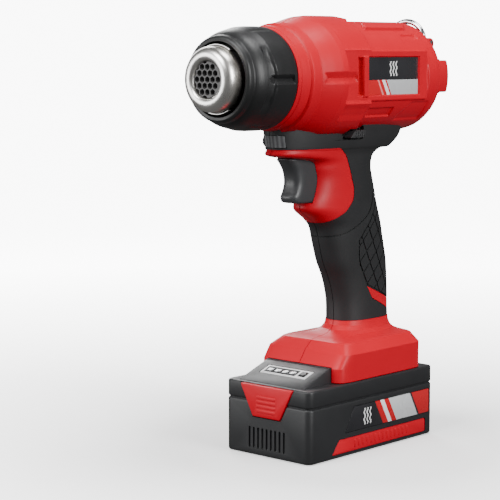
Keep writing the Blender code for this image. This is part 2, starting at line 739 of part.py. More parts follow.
def make_latch_opening(name):
    return box(f"{name}_latch_opening", (-LATCH_HALF_X - GAP, -90, LATCH_Z[0] - GAP),
               (LATCH_HALF_X + GAP, -60.4, LATCH_Z[1] + GAP))


def make_pack_upper():
    """Lid with the tower that slides into the foot and the sloped panel in front of it."""
    front, rear = PACK_Y
    tower_front, tower_rear = TOWER_Y
    lid = box("battery_upper_shell", (-PACK_HALF_X, front, PACK_SEAM_Z),
              (PACK_HALF_X, rear, PACK_SHOULDER_Z), BLACK)
    soften = lid.modifiers.new("corners", "BEVEL")
    soften.width = 5.0 * MM
    soften.segments = 3
    soften.limit_method = "WEIGHT"
    mark_upright_edges(lid)
    join(lid, outline("tower", [(tower_front - 1, 45.0), (tower_rear, 45.0), (tower_rear, TOWER_TOP_Z),
                                (tower_front - 1, TOWER_TOP_Z)], TOWER_HALF_X))
    join(lid, outline("slope", [(-66.0, 45.0), (tower_front - 0.1, 45.0), (tower_front - 0.1, TOWER_TOP_Z - 0.4),
                                (-66.0, 51.6)], 36.5))
    cut(lid, box("lid_hollow", (-PACK_HALF_X + PACK_WALL, front + PACK_WALL, 30.0),
                 (PACK_HALF_X - PACK_WALL, rear - PACK_WALL, 48.6)))
    cut(lid, box("tower_hollow", (-25.5, -45.0, 40.0), (25.5, 53.0, 53.4)))
    for sign in (-1, 1):
        low, high = sorted_box(26.2 * sign, 40.0 * sign, -20.0, 70.0)
        cut(lid, box(f"rail_groove_{sign}", low + (51.9,), high + (55.5,)))
    for i, x in enumerate(BLADES_X):
        cut(lid, box(f"contact_slot_{i}", (x - 1.3, 29.0, 54.6), (x + 1.3, 80.0, 80.0)))
    cut(lid, make_latch_opening("upper"))
    cut(lid, make_gauge_block("gauge_pocket", (-21.3, 21.3), (-5.8, 5.8), (-1.5, 3.0)))
    cut(lid, make_gauge_block("gauge_button_well", (12.1, 18.9), (-3.4, 3.4), (-5.0, 3.0)))
    return lid


def make_gauge_block(name, x_range, along, across, look=None):
    """A block laid on the sloped panel: along runs up the slope and across stands out of it."""
    slope_middle = Vector((0.0, -49.0, 57.35)) * MM
    lean = math.atan2(TOWER_TOP_Z - 0.4 - 51.6, 66.0 + TOWER_Y[0] - 0.1)
    block = box(name, (x_range[0], along[0], across[0]), (x_range[1], along[1], across[1]), look)
    place = Matrix.Translation(slope_middle) @ Matrix.Rotation(lean, 4, "X")
    block.matrix_world = place @ Matrix.Translation(block.location)
    return block


def make_gauge():
    panel = make_gauge_block("gauge_panel", (-21.0, 21.0), (-5.5, 5.5), (-1.2, 0.5), CLEAR)
    cut(panel, make_gauge_block("gauge_button_hole", (12.1, 18.9), (-3.4, 3.4), (-9.0, 9.0)))
    make_gauge_block("gauge_button", (12.5, 18.5), (-3.0, 3.0), (-3.2, 1.2), BLACK)


def make_latch():
    """Release button in the pack's front, with a flange that keeps it behind the wall."""
    low_z, high_z = LATCH_Z
    latch = box("latch_button", (-LATCH_HALF_X, PACK_Y[0] - 0.5, low_z), (LATCH_HALF_X, -65.0, high_z), RED)
    rounding = latch.modifiers.new("edges", "BEVEL")
    rounding.width = 1.2 * MM
    rounding.segments = 2
    join(latch, box("latch_flange", (-23.0, -67.4, 25.0), (23.0, -64.0, 48.0)))
    return latch


def make_strip_block(name, sign, grow, depth, look=None):
    low, high = sorted_box((PACK_HALF_X - depth) * sign, (PACK_HALF_X + 0.6) * sign,
                           -44.0 - grow, 61.0 + grow)
    return box(name, low + (3.0 - grow,), high + (12.5 + grow,), look)


def make_pack_trim():
    for side, sign in (("left", 1), ("right", -1)):
        low, high = sorted_box((PACK_HALF_X + GAP) * sign, (PACK_HALF_X + 0.8) * sign, -30.0, 66.0)
        box(f"{side}_battery_label", low + (17.2,), high + (33.8,), PRINT)
        make_strip_block(f"{side}_battery_strip", sign, 0.0, 1.5 - GAP, RED)


def make_cells():
    holder = box("cell_holder", (-3.0, -44.6, 2.6), (3.0, 68.4, 48.2), BLACK)
    for layer in range(2):
        z = CELL_LOW_Z + layer * CELL_PITCH
        for i in range(5):
            y = CELL_REAR_Y - i * CELL_PITCH
            cut(holder, crosswise(disc(f"cell_hole_{layer}_{i}", CELL_R + GAP, (-10, 10), steps=16,
                                       place=(0.0, y, z))))
            crosswise(disc(f"cell_{layer * 5 + i + 1}", CELL_R, (-CELL_LENGTH / 2, CELL_LENGTH / 2),
                           CELL, steps=16, place=(0.0, y, z)))


make_pack_lower()
make_pack_upper()
make_gauge()
make_latch()
make_spring("latch_spring", 0.0, 38.0, (-63.2, -48.0), 4.0, 6)
make_pack_trim()
make_cells()
box("battery_board", (-24.0, -25.0, 50.0), (24.0, 50.0, 51.6), BOARD)
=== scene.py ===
# %% [markdown]
# # A cordless heat gun on its battery pack
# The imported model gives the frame: every moving body, every solid and the place of each joint.
# This lesson dresses that frame. Each cell makes one piece or one finish, and prints what it made.
# All sizes below are in millimetres, in the part's own drawing: the nozzle points to -Y, the
# tool's left side faces +X, and the pack stands on z = 0.

# %% Load the frame
import math

import bmesh
import bpy
import numpy as np
from mathutils import Matrix, Vector


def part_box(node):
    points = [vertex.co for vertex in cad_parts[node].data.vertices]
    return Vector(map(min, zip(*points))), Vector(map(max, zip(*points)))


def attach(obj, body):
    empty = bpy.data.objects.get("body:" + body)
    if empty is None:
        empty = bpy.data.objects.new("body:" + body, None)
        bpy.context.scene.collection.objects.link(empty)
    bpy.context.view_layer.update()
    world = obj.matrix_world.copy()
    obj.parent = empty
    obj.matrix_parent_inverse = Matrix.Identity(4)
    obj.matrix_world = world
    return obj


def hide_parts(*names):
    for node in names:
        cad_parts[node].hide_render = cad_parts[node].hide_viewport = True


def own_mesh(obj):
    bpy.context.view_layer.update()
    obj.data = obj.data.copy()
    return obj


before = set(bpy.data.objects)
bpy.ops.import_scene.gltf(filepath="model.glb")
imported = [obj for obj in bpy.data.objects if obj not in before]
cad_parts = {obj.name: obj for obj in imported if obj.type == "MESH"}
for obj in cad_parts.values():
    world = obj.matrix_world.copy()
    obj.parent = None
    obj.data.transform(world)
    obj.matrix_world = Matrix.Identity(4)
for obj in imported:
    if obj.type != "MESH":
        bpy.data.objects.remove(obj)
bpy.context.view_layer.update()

MM = 0.001


def node_box(name):
    """Lowest and highest corner of a solid, in millimetres."""
    low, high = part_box(name)
    return np.array(low) / MM, np.array(high) / MM


tube_low, tube_high = node_box("outlet_tube")
AXIS_Z = (tube_low[2] + tube_high[2]) / 2
TUBE_R = (tube_high[2] - tube_low[2]) / 2
TUBE_FRONT = tube_low[1]

# %% [markdown]
# ## Helpers for surfaces
# Most of the mouldings here are skins over a rule: a drum whose radius depends on where you
# stand, or a handle whose rounded section changes with height. Both are a grid of points, so one
# function that turns a grid into a closed mesh serves them all. Normals are recalculated once the
# mesh is closed, and edges sharper than a limit keep a crisp shade.

# %% Grid surfaces, smooth shading and small mesh tools


def finish_mesh(name, mesh, material, sharp=32.0):
    """Link a mesh as an object, shade it smooth with crisp edges and give it its material."""
    mesh.name = name
    mesh.materials.clear()
    mesh.materials.append(material)
    mesh.shade_smooth()
    mesh.set_sharp_from_angle(angle=math.radians(sharp))
    obj = bpy.data.objects.new(name, mesh)
    bpy.context.scene.collection.objects.link(obj)
    return obj


def close_mesh(work, name):
    """Merge doubles, turn the faces outwards and hand back a mesh."""
    bmesh.ops.remove_doubles(work, verts=work.verts, dist=0.000002)
    bmesh.ops.recalc_face_normals(work, faces=work.faces)
    mesh = bpy.data.meshes.new(name)
    work.to_mesh(mesh)
    work.free()
    return mesh


def grid_mesh(name, points, wrap_rows=False, wrap_columns=False, cap_rows=False, cap_columns=False):
    """Quads over a grid of points (rows, columns, xyz) in millimetres, with its open ends capped."""
    rows, columns = points.shape[:2]
    index = np.arange(rows * columns).reshape(rows, columns)
    wide = np.vstack([index, index[:1]]) if wrap_rows else index
    wide = np.hstack([wide, wide[:, :1]]) if wrap_columns else wide
    quads = np.stack([wide[:-1, :-1], wide[:-1, 1:], wide[1:, 1:], wide[1:, :-1]], axis=-1)
    faces = quads.reshape(-1, 4).tolist()
    if cap_rows:
        faces += [index[0].tolist(), index[-1].tolist()]
    if cap_columns:
        faces += [index[:, 0].tolist(), index[:, -1].tolist()]
    mesh = bpy.data.meshes.new(name)
    mesh.from_pydata((points.reshape(-1, 3) * MM).tolist(), [], faces)
    work = bmesh.new()
    work.from_mesh(mesh)
    return close_mesh(work, name)


def step(low, high, value):
    """Smooth step from 0 at low to 1 at high."""
    t = np.clip((value - low) / (high - low), 0.0, 1.0)
    return t * t * (3 - 2 * t)


def band(value, low, high, soft=0.5):
    """1 between low and high, with soft edges."""
    return step(low - soft, low + soft, value) * (1 - step(high - soft, high + soft, value))


def resample(points, count):
    """Evenly spaced points on a smooth cubic curve through the given ones."""
    points = np.asarray(points, float)
    return np.array([smooth_at(points, t) for t in np.linspace(0, len(points) - 1, count)])


def smooth_at(points, t):
    """The curve's point at t, counted in points from the first one."""
    i = min(int(t), len(points) - 2)
    before = points[max(i - 1, 0)]
    after = points[min(i + 2, len(points) - 1)]
    a, b, u = points[i], points[i + 1], t - i
    slope_a, slope_b = (b - before) / 2, (after - a) / 2
    return ((2 * u**3 - 3 * u**2 + 1) * a + (u**3 - 2 * u**2 + u) * slope_a
            + (3 * u**2 - 2 * u**3) * b + (u**3 - u**2) * slope_b)


def block(name, low, high, material, bevel=0.6, segments=3, sharp=32.0):
    """A moulded block between two corners, with rounded edges."""
    work = bmesh.new()
    bmesh.ops.create_cube(work, size=1.0)
    size = [b - a for a, b in zip(low, high)]
    bmesh.ops.scale(work, vec=Vector(size) * MM, verts=work.verts)
    bmesh.ops.translate(work, vec=(Vector(low) + Vector(high)) / 2 * MM, verts=work.verts)
    if bevel:
        bmesh.ops.bevel(work, geom=work.edges[:], offset=bevel * MM, segments=segments, profile=0.5,
                         affect="EDGES")
    return finish_mesh(name, close_mesh(work, name), material, sharp)


def prism(name, outline, x_range, material=None, bevel=0.0):
    """A side-view outline (y, z) given a thickness along X."""
    work = bmesh.new()
    low, high = x_range
    rings = [[work.verts.new((x * MM, y * MM, z * MM)) for y, z in outline] for x in (low, high)]
    work.faces.new(rings[0])
    work.faces.new(rings[1])
    count = len(outline)
    for i in range(count):
        j = (i + 1) % count
        work.faces.new((rings[0][i], rings[0][j], rings[1][j], rings[1][i]))
    bmesh.ops.recalc_face_normals(work, faces=work.faces)
    if bevel:
        bmesh.ops.bevel(work, geom=work.edges[:], offset=bevel * MM, segments=2, profile=0.5,
                         affect="EDGES", clamp_overlap=True)
    return finish_mesh(name, close_mesh(work, name), material or spare_material())


def spare_material():
    return bpy.data.materials.get("spare") or bpy.data.materials.new("spare")


def combine(obj, other, operation, sharp=32.0):
    """Boolean with another closed mesh, applied at once. The other object is used up."""
    modifier = obj.modifiers.new("cut", "BOOLEAN")
    modifier.operation = operation
    modifier.solver = "MANIFOLD"
    modifier.object = other
    bpy.context.view_layer.update()
    evaluated = obj.evaluated_get(bpy.context.evaluated_depsgraph_get())
    mesh = bpy.data.meshes.new_from_object(evaluated)
    kept = obj.data.materials[0]
    obj.modifiers.clear()
    obj.data = mesh
    mesh.materials.clear()
    mesh.materials.append(kept)
    mesh.polygons.foreach_set("material_index", np.zeros(len(mesh.polygons), dtype=np.int32))
    mesh.shade_smooth()
    mesh.set_sharp_from_angle(angle=math.radians(sharp))
    bpy.data.objects.remove(other, do_unlink=True)
    return obj


def cut(obj, *others):
    """Take other pieces away."""
    for other in others:
        combine(obj, other, "DIFFERENCE")
    return obj


def join(obj, *others):
    """Melt other pieces into this one."""
    for other in others:
        combine(obj, other, "UNION")
    return obj


def trim(obj, other):
    """Keep only what lies inside another piece."""
    return combine(obj, other, "INTERSECT")


def cutter(name, low, high, bevel=0.0, segments=3):
    """A block that only cuts or trims other pieces."""
    return block(name, low, high, spare_material(), bevel, segments)


def placed(obj, body, slot, *nodes):
    """Let a finished piece ride with its body, and stand for the solids that it replaces."""
    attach(obj, body)
    if nodes:
        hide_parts(*nodes)
    count = len(obj.data.polygons) if obj.type == "MESH" else 0
    print(f"{obj.name}: {count} faces on {body}")
    return obj


# %% [markdown]
# ## Shader maths in Python
# A material here is a short expression: noise times a number, a mask made of two steps, a mix of
# two colours. Wrapping a socket in a class with operators lets the expression be written as maths,
# and each operator adds the Math node it stands for.

# %% The socket class


class Value:
    """A socket in a material's tree, with arithmetic."""

    def __init__(self, tree, socket):
        self.tree, self.socket = tree, socket

    def node(self, kind, settings=None, **values):
        made = self.tree.nodes.new(kind)
        for key, setting in (settings or {}).items():
            if key == "stops":
                fill_ramp(made.color_ramp, setting)
            else:
                setattr(made, key, setting)
        for key, value in values.items():
            name = key.replace("_", " ")
            slot = made.inputs[int(key[1:])] if key[0] == "i" and key[1:].isdigit() else made.inputs[name]
            connect(self.tree, slot, value)
        return made

    def maths(self, operation, *others):
        values = {f"i{i}": value for i, value in enumerate((self, *others))}
        return Value(self.tree, self.node("ShaderNodeMath", {"operation": operation}, **values).outputs[0])

    def __add__(self, other):
        return self.maths("ADD", other)

    def __mul__(self, other):
        return self.maths("MULTIPLY", other)

    def __sub__(self, other):
        return self.maths("SUBTRACT", other)

    def __truediv__(self, other):
        return self.maths("DIVIDE", other)

    def __gt__(self, other):
        return self.maths("GREATER_THAN", other)

    def __lt__(self, other):
        return self.maths("LESS_THAN", other)

    __radd__, __rmul__ = __add__, __mul__

    def __rsub__(self, other):
        return (self * -1.0) + other

    def absolute(self):
        return self.maths("ABSOLUTE")

    def between(self, low, high):
        return (self > low) * (self < high)


def fill_ramp(ramp, stops):
    while len(ramp.elements) > 1:
        ramp.elements.remove(ramp.elements[-1])
    for i, (place, color) in enumerate(stops):
        element = ramp.elements[0] if i == 0 else ramp.elements.new(place)
        element.position = place
        element.color = (*color, 1.0) if len(color) == 3 else color


def connect(tree, slot, value):
    if isinstance(value, Value):
        tree.links.new(value.socket, slot)
    elif isinstance(value, bpy.types.NodeSocket):
        tree.links.new(value, slot)
    else:
        slot.default_value = value


class Finish:
    """A Principled material under construction: object-space coordinates in metres times 1000."""

    def __init__(self, name, roughness=0.5, metallic=0.0, coat=0.0, coat_roughness=0.1, specular=0.5):
        self.material = bpy.data.materials.new(name)
        self.material.use_nodes = True
        self.tree = self.material.node_tree
        self.shader = self.tree.nodes["Principled BSDF"]
        self.shader.inputs["Roughness"].default_value = roughness
        self.shader.inputs["Metallic"].default_value = metallic
        self.shader.inputs["Coat Weight"].default_value = coat
        self.shader.inputs["Coat Roughness"].default_value = coat_roughness
        self.shader.inputs["Specular IOR Level"].default_value = specular
        coordinates = self.tree.nodes.new("ShaderNodeTexCoord")
        scale = self.tree.nodes.new("ShaderNodeVectorMath")
        scale.operation = "SCALE"
        scale.inputs["Scale"].default_value = 1000.0
        self.tree.links.new(coordinates.outputs["Object"], scale.inputs[0])
        self.place = Value(self.tree, scale.outputs[0])
        split = self.place.node("ShaderNodeSeparateXYZ", i0=self.place)
        self.x, self.y, self.z = (Value(self.tree, split.outputs[i]) for i in range(3))

    def noise(self, scale, detail=2.0, stretch=None):
        where = self.place
        if stretch:
            mapping = self.place.node("ShaderNodeMapping", Vector=self.place, Scale=stretch)
            where = Value(self.tree, mapping.outputs[0])
        made = self.place.node("ShaderNodeTexNoise", Vector=where, Scale=scale, Detail=detail)
        return Value(self.tree, made.outputs["Fac"])

    def cells(self, scale, feature="F1"):
        made = self.place.node("ShaderNodeTexVoronoi", {"feature": feature}, Vector=self.place, Scale=scale)
        return Value(self.tree, made.outputs["Distance"])

    def mix(self, factor, first, second):
        made = self.place.node("ShaderNodeMix", {"data_type": "RGBA"})
        connect(self.tree, made.inputs[0], factor)
        for socket, color in ((made.inputs[6], first), (made.inputs[7], second)):
            connect(self.tree, socket, color if isinstance(color, Value) else (*color, 1.0))
        return Value(self.tree, made.outputs[2])

    def set(self, **links):
        for key, value in links.items():
            connect(self.tree, self.shader.inputs[key.replace("_", " ")], value)
        return self

    def bump(self, height, distance, strength=1.0):
        made = self.place.node("ShaderNodeBump", Height=height, Distance=distance * MM, Strength=strength)
        connect(self.tree, self.shader.inputs["Normal"], made.outputs[0])
        return self


# %% [markdown]
# ## Finishes
# The housing is a glass-filled nylon with a fine spark-eroded texture: satin and slightly mottled in
# two close tones. The grip is a softer, darker and duller elastomer.
# The steel tube is spun, so its scratches run round the axis, and heat has tinted it near the end.

# %% Plastic, rubber and metal


def moulded(name, color, pale, roughness, grain=1.1, depth=0.035, specular=0.5):
    """Fine-textured moulding: two close tones, a leathery micro texture and uneven sheen."""
    look = Finish(name, roughness, specular=specular)
    cloud = look.noise(0.035, 3.0)
    speck = look.noise(1.7, 2.0)
    look.set(Base_Color=look.mix(cloud * 0.55 + speck * 0.25, color, pale))
    look.set(Roughness=look.noise(0.12, 4.0) * 0.16 + (roughness - 0.08))
    return look.bump(look.noise(grain, 3.0) + look.cells(grain * 1.6) * 0.5, depth, 0.55).material


def brushed(name, color, dark, roughness, stretch, scratch=6.0):
    """Metal with fine parallel scratches; stretch squeezes the noise into streaks."""
    look = Finish(name, roughness, metallic=1.0)
    streak = look.noise(scratch, 3.0, stretch)
    cloud = look.noise(0.06, 3.0)
    look.set(Base_Color=look.mix(streak * 0.5 + cloud * 0.4, dark, color))
    look.set(Roughness=streak * 0.18 + cloud * 0.1 + (roughness - 0.12))
    return look.bump(streak, 0.01, 0.35).material


red_plastic = moulded("red_plastic", (0.46, 0.001, 0.010), (0.57, 0.003, 0.018), 0.42, specular=0.22)
black_plastic = moulded("black_plastic", (0.006, 0.0063, 0.0066), (0.013, 0.0133, 0.014), 0.42, specular=0.4)
pack_plastic = moulded("pack_plastic", (0.011, 0.0115, 0.0125), (0.020, 0.0205, 0.022), 0.46, specular=0.4)
grip_rubber = moulded("grip_rubber", (0.010, 0.0105, 0.011), (0.019, 0.0195, 0.021), 0.56,
                      grain=1.6, depth=0.05, specular=0.4)
trigger_plastic = moulded("trigger_plastic", (0.026, 0.027, 0.029), (0.044, 0.045, 0.048), 0.45)
dark_pit = moulded("dark_pit", (0.006, 0.006, 0.007), (0.012, 0.012, 0.013), 0.6)
plain_steel = brushed("plain_steel", (0.70, 0.69, 0.67), (0.42, 0.41, 0.40), 0.30, (1.0, 9.0, 1.0))
chrome = brushed("chrome", (0.86, 0.87, 0.88), (0.62, 0.63, 0.65), 0.14, (1.0, 1.0, 1.0), 1.4)
copper = brushed("copper", (0.80, 0.42, 0.22), (0.52, 0.25, 0.13), 0.32, (1.0, 8.0, 1.0))
print("finishes", len(bpy.data.materials))


def spun_steel():
    """Spun tube: streaks round the axis, and a straw heat tint towards the front."""
    look = Finish("spun_steel", 0.28, metallic=1.0)
    streak = look.noise(3.0, 4.0, (0.12, 5.0, 0.12))
    cloud = look.noise(0.12, 3.0)
    bare = look.mix(streak * 0.7 + cloud * 0.3, (0.55, 0.54, 0.53), (0.82, 0.81, 0.79))
    heat = 1.0 - ((look.y - (TUBE_FRONT + 9.0)) / 10.0).absolute()
    heat = heat.maths("MAXIMUM", 0.0)
    look.set(Base_Color=look.mix(heat * 0.3, bare, (0.72, 0.62, 0.45)))
    look.set(Roughness=streak * 0.2 + cloud * 0.12 + 0.14)
    return look.bump(streak, 0.012, 0.4).material


def ceramic_finish(name, color, pale):
    look = Finish(name, 0.75)
    grain = look.noise(1.2, 4.0)
    look.set(Base_Color=look.mix(grain, color, pale))
    look.set(Roughness=grain * 0.2 + 0.62)
    return look.bump(grain, 0.05, 0.6).material


def mica_finish():
    look = Finish("mica", 0.45)
    flake = look.cells(0.5)
    look.set(Base_Color=look.mix(flake, (0.42, 0.30, 0.15), (0.66, 0.52, 0.32)))
    look.set(Roughness=flake * 0.3 + 0.3)
    return look.bump(flake, 0.02, 0.5).material


def board_finish():
    """Solder mask with paler tracks and tinned pads."""
    look = Finish("circuit_board", 0.35)
    tracks = look.cells(0.22, "DISTANCE_TO_EDGE") < 0.09
    pads = look.cells(0.4) < 0.22
    green = look.mix(tracks * 0.6, (0.008, 0.09, 0.035), (0.02, 0.19, 0.08))
    look.set(Base_Color=look.mix(pads, green, (0.68, 0.66, 0.58)))
    look.set(Roughness=pads * -0.1 + 0.38)
    return look.bump(pads * 0.6 + tracks * 0.3, 0.05, 0.5).material


def cell_finish():
    """Shrink sleeve on the cells, with steel ends."""
    look = Finish("cell_sleeve", 0.32)
    end = look.x.absolute() > 34.4
    wrinkle = look.noise(0.3, 3.0)
    look.set(Base_Color=look.mix(end, look.mix(wrinkle, (0.03, 0.13, 0.30), (0.05, 0.19, 0.40)),
                                 (0.6, 0.6, 0.6)))
    look.set(Roughness=wrinkle * 0.2 + 0.25, Metallic=end)
    return look.bump(wrinkle, 0.04, 0.4).material


tube_steel = spun_steel()
ceramic = ceramic_finish("ceramic", (0.060, 0.060, 0.062), (0.115, 0.112, 0.11))
dark_ceramic = ceramic_finish("dark_ceramic", (0.035, 0.033, 0.032), (0.06, 0.057, 0.055))
mica = mica_finish()
circuit_board = board_finish()
cell_sleeve = cell_finish()

# %% [markdown]
# ## Inner pieces keep their solids
# What lies inside the shells already has its true shape, so the frame's own solids stay. They
# only change material: a slot is reassigned and the mesh is left alone.

# %% Materials for the solids that stay


def dress(material, *names):
    for name in names:
        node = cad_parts[name]
        node.data.materials.clear()
        node.data.materials.append(material)


cells = [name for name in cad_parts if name.startswith("cell_") and name != "cell_holder"]
dress(cell_sleeve, *cells)
dress(black_plastic, "cell_holder", "fan_wheel", "motor_mount", "motor_end_cap",
      "switch_module", "terminal_block")
dress(plain_steel, "motor_can", "thermal_cutoff")
dress(copper, "motor_rotor", "contact_blade_1", "contact_blade_2", "heating_coil")
dress(dark_ceramic, "heater_former", "heater_base")
dress(mica, "mica_sleeve")
dress(circuit_board, "control_board", "battery_board")
print("dressed", len(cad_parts), "solids in all, before any is replaced")

# %% [markdown]
# ## Repeated things from one node tree
# Honeycomb, cooling slots, ribs and ridges are all one idea: a tile repeated on a grid. The tree
# below makes the grid, shifts every second row by half a pitch when asked, drops the points
# outside a radius and puts the tile on what is left. Each use sets the named inputs and is then
# turned into a plain mesh.

# %% The tile tree


class Tree:
    """Small builder for a Geometry Nodes tree."""

    def __init__(self, name, inputs):
        self.group = bpy.data.node_groups.new(name, "GeometryNodeTree")
        for title, kind, default in inputs:
            socket = self.group.interface.new_socket(title, in_out="INPUT", socket_type=kind)
            if default is not None:
                socket.default_value = default
        self.group.interface.new_socket("Geometry", in_out="OUTPUT", socket_type="NodeSocketGeometry")
        self.source = self.group.nodes.new("NodeGroupInput")
        self.result = self.group.nodes.new("NodeGroupOutput")

    def ask(self, title):
        return self.source.outputs[title]

    def node(self, kind, settings=None, inputs=None):
        made = self.group.nodes.new(kind)
        for key, value in (settings or {}).items():
            setattr(made, key, value)
        for key, value in (inputs or {}).items():
            if isinstance(value, bpy.types.NodeSocket):
                self.group.links.new(value, made.inputs[key])
            else:
                made.inputs[key].default_value = value
        return made

    def maths(self, operation, a, b):
        return self.node("ShaderNodeMath", {"operation": operation}, {0: a, 1: b}).outputs[0]


def make_tile_tree():
    tree = Tree("tiles_on_a_grid", [
        ("Tile", "NodeSocketObject", None), ("Columns", "NodeSocketInt", 3), ("Rows", "NodeSocketInt", 3),
        ("Pitch X", "NodeSocketFloat", 0.01), ("Pitch Y", "NodeSocketFloat", 0.01),
        ("Shift", "NodeSocketFloat", 0.0), ("Radius", "NodeSocketFloat", 1.0),
        ("Material", "NodeSocketMaterial", None)])
    width = tree.maths("MULTIPLY", tree.ask("Pitch X"), tree.maths("SUBTRACT", tree.ask("Columns"), 1.0))
    depth = tree.maths("MULTIPLY", tree.ask("Pitch Y"), tree.maths("SUBTRACT", tree.ask("Rows"), 1.0))
    grid = tree.node("GeometryNodeMeshGrid", inputs={
        "Size X": width, "Size Y": depth, "Vertices X": tree.ask("Columns"), "Vertices Y": tree.ask("Rows")})
    where = tree.node("GeometryNodeInputPosition").outputs[0]
    y = tree.node("ShaderNodeSeparateXYZ", inputs={0: where}).outputs[1]
    row = tree.maths("ROUND", tree.maths("DIVIDE", tree.maths("ADD", y, tree.maths("MULTIPLY", depth, 0.5)),
                                         tree.ask("Pitch Y")), 0.0)
    odd = tree.maths("MODULO", row, 2.0)
    shift = tree.maths("MULTIPLY", odd, tree.ask("Shift"))
    offset = tree.node("ShaderNodeCombineXYZ", inputs={0: shift}).outputs[0]
    moved = tree.node("GeometryNodeSetPosition", inputs={"Geometry": grid.outputs["Mesh"], "Offset": offset})
    away = tree.node("ShaderNodeVectorMath", {"operation": "LENGTH"}, {0: where}).outputs["Value"]
    outside = tree.maths("GREATER_THAN", away, tree.ask("Radius"))
    kept = tree.node("GeometryNodeDeleteGeometry", {"domain": "POINT"},
                     {"Geometry": moved.outputs[0], "Selection": outside})
    tile = tree.node("GeometryNodeObjectInfo", inputs={"Object": tree.ask("Tile")})
    placed_tiles = tree.node("GeometryNodeInstanceOnPoints", inputs={
        "Points": kept.outputs[0], "Instance": tile.outputs["Geometry"]})
    real = tree.node("GeometryNodeRealizeInstances", inputs={"Geometry": placed_tiles.outputs[0]})
    dressed = tree.node("GeometryNodeSetMaterial", inputs={
        "Geometry": real.outputs[0], "Material": tree.ask("Material")})
    tree.group.links.new(dressed.outputs[0], tree.result.inputs[0])
    return tree.group


TILE_TREE = make_tile_tree()


def tiles(name, tile, columns, rows, pitch, material, shift=0.0, radius=1000.0, turn=None, at=(0, 0, 0)):
    """Repeat a tile on a grid in XY (millimetres), turn the result and put it at a point."""
    host = bpy.data.objects.new(name + "_host", bpy.data.meshes.new(name + "_host"))
    bpy.context.scene.collection.objects.link(host)
    modifier = host.modifiers.new("tiles", "NODES")
    modifier.node_group = TILE_TREE
    values = {"Tile": tile, "Columns": columns, "Rows": rows, "Pitch X": pitch[0] * MM,
              "Pitch Y": pitch[1] * MM, "Shift": shift * MM, "Radius": radius * MM, "Material": material}
    names = {item.name: item.identifier for item in TILE_TREE.interface.items_tree
             if item.item_type == "SOCKET" and item.in_out == "INPUT"}
    for key, value in values.items():
        modifier[names[key]] = value
    bpy.context.view_layer.update()
    mesh = bpy.data.meshes.new_from_object(host.evaluated_get(bpy.context.evaluated_depsgraph_get()))
    bpy.data.objects.remove(host, do_unlink=True)
    bpy.data.objects.remove(tile, do_unlink=True)
    mesh.transform(Matrix.Translation(Vector(at) * MM) @ (turn or Matrix.Identity(4)))
    return finish_mesh(name, mesh, material)


print("tile tree:", len(TILE_TREE.nodes), "nodes")

# %% [markdown]
# ## The drum
# The drum's skin is a radius that depends on the place along the axis and the angle round it. The
# plain profile gives the collar seat, the shoulder and the rear edge. On top of it come two rings,
# a shoulder with a stepped rear edge, a V-groove along the side, a flat plate that carries the
# label, a slot with a bar, a rail, shallow pockets and the parting line between the halves. Rows
# and columns are packed closer beside each edge, so steps stay crisp without a heavy mesh.

# %% Height rules of the drum
DRUM = [(-77.2, 34.9), (-74.3, 35.2), (-66.7, 36.2), (-57.5, 37.2), (-53.0, 38.6), (-46.0, 40.6),
        (-38.5, 42.3), (-30.0, 43.0), (-5.0, 43.0), (3.0, 42.0), (12.5, 39.5), (16.0, 39.4),
        (70.5, 39.4), (74.0, 38.9), (77.6, 37.2), (80.0, 34.2)]
PLATE_X = 37.9
PLATE_Y = (-33.0, 61.0)
PLATE_Z = (-16.4, 19.2)
LABEL_Y = (-6.6, 51.2)
LABEL_Z = (-12.6, 14.6)
SLOT_Y = (-18.2, -9.4)
SLOT_Z = (-12.4, 14.0)


def drum_radius(y, angle):
    """Radius of the drum's skin in millimetres, for a place along the axis and an angle in degrees."""
    radius = np.interp(y, [p[0] for p in DRUM], [p[1] for p in DRUM])
    z = radius * np.cos(np.radians(angle))
    # two rings next to the collar
    radius = radius - 0.9 * band(y, -68.7, -65.2, 0.35) - 0.5 * step(-73.6, -74.2, y)
    radius = radius + 0.9 * band(y, -64.6, -56.8, 0.5)
    # the shoulder reaches furthest back on top, and has a shallow facet above and below the plate
    rear = np.interp(angle, [0, 4.5, 23.3, 44.3, 117, 136, 160, 180],
                     [11.0, 10.1, -6.2, -4.5, -5.2, -7.0, 6.0, 11.0])
    above = np.clip(radius - 39.4, 0, None)
    facet = step(38.0, 58.0, angle) * (1 - step(62.0, 64.0, angle)) + band(angle, 117.0, 130.0, 4.0)
    radius = radius - 1.0 * facet * band(y, -33.0, 4.0, 0.5) * (above > 1)
    radius = radius - np.where(y > -20, step(rear, rear + 2.4, y) * np.clip(radius - 39.4, 0, None), 0)
    # groove along the side, over the shoulder
    valley = np.clip(1 - np.abs(angle - 89.3) / 5.8, 0, 1)
    start = -54.2 + 2.6 * valley
    radius = radius - 2.3 * valley * step(start - 0.5, start + 0.5, y) * (1 - step(-20.4, -19.4, y))
    # rail on top, a low step under it, and pockets low on the side
    rail_front = np.interp(angle, [21, 34], [13.6, 7.6])
    rail_rear = np.interp(angle, [21, 34], [62.0, 52.6])
    radius = radius + 1.7 * band(y, rail_front, rail_rear, 0.6) * band(angle, 21.6, 32.6, 0.9)
    radius = radius - 0.9 * band(y, 44.0, 61.0, 0.6) * band(angle, 41.0, 46.5, 0.9)
    pocket_front = np.interp(angle, [121, 136], [-2.5, 2.5])
    radius = radius - 1.3 * band(y, pocket_front, 28.0, 0.5) * band(angle, 123.0, 134.5, 0.7)
    chamfer = np.interp(angle, [112, 118, 132, 140], [60.0, 46.0, 37.5, 37.5])
    behind = step(chamfer, chamfer + 1.2, y) * (1 - step(66.0, 67.0, y))
    radius = radius - 0.8 * behind * band(angle, 117.0, 141.0, 1.2)
    return radius


